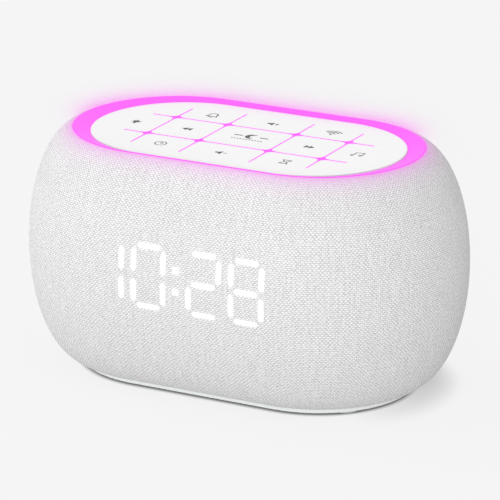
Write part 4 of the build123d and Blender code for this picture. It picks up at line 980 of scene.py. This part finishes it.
# ---- stage
def make_floor():
    """Wide pale floor that keeps the object's shadow and shows the backdrop's level. Its glow carries painted
    shadows, darkest at the base and under the overhang on the side away from the light. From below it is
    clear."""
    corners = [(x * FLOOR_HALF, y * FLOOR_HALF, 0) for x, y in ((-1, -1), (1, -1), (1, 1), (-1, 1))]
    mesh = bpy.data.meshes.new("floor")
    mesh.from_pydata(corners, [], [(0, 1, 2, 3)])
    material = bpy.data.materials.new("pale_floor")
    tree = cleared_tree(material)
    surface = add(tree, "BsdfDiffuse", {"Color": (FLOOR_SHARE, FLOOR_SHARE, FLOOR_SHARE, 1)})
    # Painted shadows: occlusion near the base, and under the overhang on the far side, darken the floor's
    # glow.
    contact = add(tree, "AmbientOcclusion", {"Distance": CONTACT_REACH}, samples=SHADOW_SAMPLES)
    open_share = ramp(tree, contact.outputs["AO"], 0.2, 0.93, CONTACT_DARK, 1.0, smooth=False)
    look = Vector(OVERHANG_LOOK).normalized()
    overhang = add(tree, "AmbientOcclusion", {"Distance": OVERHANG_REACH, "Normal": look},
                   samples=SHADOW_SAMPLES)
    shade = ramp(tree, overhang.outputs["AO"], 0.35, 0.85, OVERHANG_SHADE, 0.0, smooth=False)
    beyond, across, out, _ = stadium_place(tree)
    less = ramp(tree, toward(tree, beyond, across, out, FAR_SIDE), -0.1, 1.0, 0.0, -1.0, smooth=False)
    lit_share = times(tree, open_share, calc(tree, "MULTIPLY_ADD", shade, less, 1.0))
    seen_glow = times(tree, lit_share, bpy.context.scene.studio_settings.backdrop - FLOOR_SHARE * FLOOR_LAMPS)
    strength = ramp(tree, seen_by_eye(tree), 0.0, 1.0, FLOOR_BOUNCE, seen_glow, smooth=False)
    glow = add(tree, "Emission", {"Color": (1, 1, 1, 1), "Strength": strength})
    both = add(tree, "AddShader", {0: surface.outputs[0], 1: glow.outputs[0]})
    below = add(tree, "NewGeometry").outputs["Backfacing"]
    clear = add(tree, "BsdfTransparent")
    seen = add(tree, "MixShader", {0: below, 1: both.outputs[0], 2: clear.outputs[0]})
    add(tree, "OutputMaterial", {"Surface": seen.outputs[0]})
    mesh.materials.append(material)
    show(bpy.data.objects.new("floor", mesh))


def make_world():
    """Even light from all round, and the backdrop's level where the camera sees it."""
    studio = bpy.context.scene.studio_settings
    world = bpy.data.worlds.new("studio")
    bpy.context.scene.world = world
    tree = cleared_tree(world)
    level = ramp(tree, seen_by_eye(tree), 0.0, 1.0, studio.fill_level, studio.backdrop, smooth=False)
    background = add(tree, "Background", {"Color": (1, 1, 1, 1), "Strength": level})
    add(tree, "OutputWorld", {"Surface": background.outputs[0]})


def make_lamps():
    """A broad soft light from the left and a low one from the front."""
    studio = bpy.context.scene.studio_settings
    for name, energy, (spread, way) in (("side_light", studio.side_level, SIDE_LAMP),
                                        ("front_light", studio.front_level, FRONT_LAMP)):
        lamp = bpy.data.lights.new(name, "SUN")
        lamp.energy = energy
        lamp.angle = math.radians(spread)
        sun = show(bpy.data.objects.new(name, lamp))
        sun.rotation_mode = "QUATERNION"
        sun.rotation_quaternion = Vector(way).to_track_quat("-Z", "Y")


def make_halo():
    """Painted glow in the air beyond the ring, on its far side from the camera, as a thin coloured haze that
    only the camera sees. It fades with the distance from the ring's top edge, and stays below a shallow slope
    so that it does not veil the ring itself."""
    turn = np.arange(HALO_COUNT) / HALO_COUNT * 2 * math.pi
    radius = RING_RADIUS + HALO_ROOM
    x = np.where(np.cos(turn) >= 0, 1, -1) * HALF_STRAIGHT + radius * np.cos(turn)
    points = [np.column_stack([x, radius * np.sin(turn), np.full(HALO_COUNT, z)])
              for z in (RING_HIGH.z - HALO_ROOM, RING_HIGH.z + HALO_ABOVE)]
    here = np.arange(HALO_COUNT)
    there = (here + 1) % HALO_COUNT
    walls = np.stack([here, there, there + HALO_COUNT, here + HALO_COUNT], 1).tolist()
    mesh = bpy.data.meshes.new("halo")
    mesh.from_pydata(np.concatenate(points).tolist(), [],
                     walls + [here[::-1].tolist(), (here + HALO_COUNT).tolist()])
    halo = show(bpy.data.objects.new("halo", mesh))
    for kind in ("shadow", "diffuse", "glossy", "transmission", "volume_scatter"):
        setattr(halo, "visible_" + kind, False)
    # Painted glow: the haze shows the ring's light to the camera only.
    material = bpy.data.materials.new("halo_painted_glow")
    tree = cleared_tree(material)
    beyond, across, out, height = stadium_place(tree)
    away = minus(tree, out, RING_RADIUS)
    above = minus(tree, height, RING_HIGH.z)
    reach = bpy.context.scene.light_settings.halo_reach
    fade = calc(tree, "EXPONENT", times(tree, length(tree, away, above), -1 / reach))
    slope = calc(tree, "DIVIDE", above, calc(tree, "MAXIMUM", away, 0.05 * MM))
    outside = ramp(tree, slope, *HALO_SLOPE)
    way = (-math.sin(CAMERA_AZIMUTH), math.cos(CAMERA_AZIMUTH))
    behind = ramp(tree, toward(tree, beyond, across, out, way), *HALO_SIDE)
    density = times(tree, times(tree, fade, outside), times(tree, behind, HALO_DENSITY))
    soak = add(tree, "VolumeAbsorption", {"Color": (0, 0, 0, 1), "Density": density})
    shine = add(tree, "Emission", {"Color": (*ring_colour(), 1.0), "Strength": density})
    both = add(tree, "AddShader", {0: soak.outputs[0], 1: shine.outputs[0]})
    add(tree, "OutputMaterial", {"Volume": both.outputs[0]})
    mesh.materials.append(material)


def make_camera():
    """Long-lens camera at the viewing angle, aimed at the middle of the body."""
    back = Vector((math.sin(CAMERA_AZIMUTH) * math.cos(CAMERA_ELEVATION),
                   -math.cos(CAMERA_AZIMUTH) * math.cos(CAMERA_ELEVATION), math.sin(CAMERA_ELEVATION)))
    level = Vector((math.cos(CAMERA_AZIMUTH), math.sin(CAMERA_AZIMUTH), 0))
    rise = back.cross(level)
    right = level * math.cos(CAMERA_ROLL) + rise * math.sin(CAMERA_ROLL)
    up = rise * math.cos(CAMERA_ROLL) - level * math.sin(CAMERA_ROLL)
    middle = Vector((0, 0, CAMERA_TARGET_HEIGHT))
    target = right * CAMERA_TARGET_SHIFT[0] + up * CAMERA_TARGET_SHIFT[1] + middle
    data = bpy.data.cameras.new("camera")
    data.lens = CAMERA_LENS
    data.sensor_width = CAMERA_SENSOR
    camera = show(bpy.data.objects.new("camera", data))
    axes = Matrix((right, up, back)).transposed()
    camera.matrix_world = Matrix.Translation(target + back * CAMERA_DISTANCE) @ axes.to_4x4()
    bpy.context.scene.camera = camera


# ---- panel and registration
OPERATORS = (MakeFabricCover, MakeKeySymbols, FinishParts, SetStage)
SETTINGS = (("cloth_settings", ClothSettings), ("light_settings", LightSettings),
            ("studio_settings", StudioSettings))


class SoundMachinePanel(bpy.types.Panel):
    """Steps and settings of the sound machine"""
    bl_idname = "VIEW3D_PT_sound_machine"
    bl_label = "Sound Machine"
    bl_space_type = "VIEW_3D"
    bl_region_type = "UI"
    bl_category = "Sound Machine"

    def draw(self, context):
        for operator in OPERATORS:
            self.layout.operator(operator.bl_idname)
        for name, group in SETTINGS:
            settings = getattr(context.scene, name)
            for field in group.__annotations__:
                self.layout.prop(settings, field)


def register():
    """Add the settings, the steps and the panel."""
    for name, group in SETTINGS:
        bpy.utils.register_class(group)
        setattr(bpy.types.Scene, name, bpy.props.PointerProperty(type=group))
    for operator in OPERATORS:
        bpy.utils.register_class(operator)
    bpy.utils.register_class(SoundMachinePanel)


def unregister():
    """Take the panel, the steps and the settings away again."""
    bpy.utils.unregister_class(SoundMachinePanel)
    for operator in reversed(OPERATORS):
        bpy.utils.unregister_class(operator)
    for name, group in reversed(SETTINGS):
        delattr(bpy.types.Scene, name)
        bpy.utils.unregister_class(group)


def main():
    """Register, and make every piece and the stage."""
    register()
    bpy.ops.soundmachine.finish_parts()
    bpy.ops.soundmachine.fabric_cover()
    bpy.ops.soundmachine.key_symbols()
    bpy.ops.soundmachine.stage()


if __name__ == "__main__":
    main()
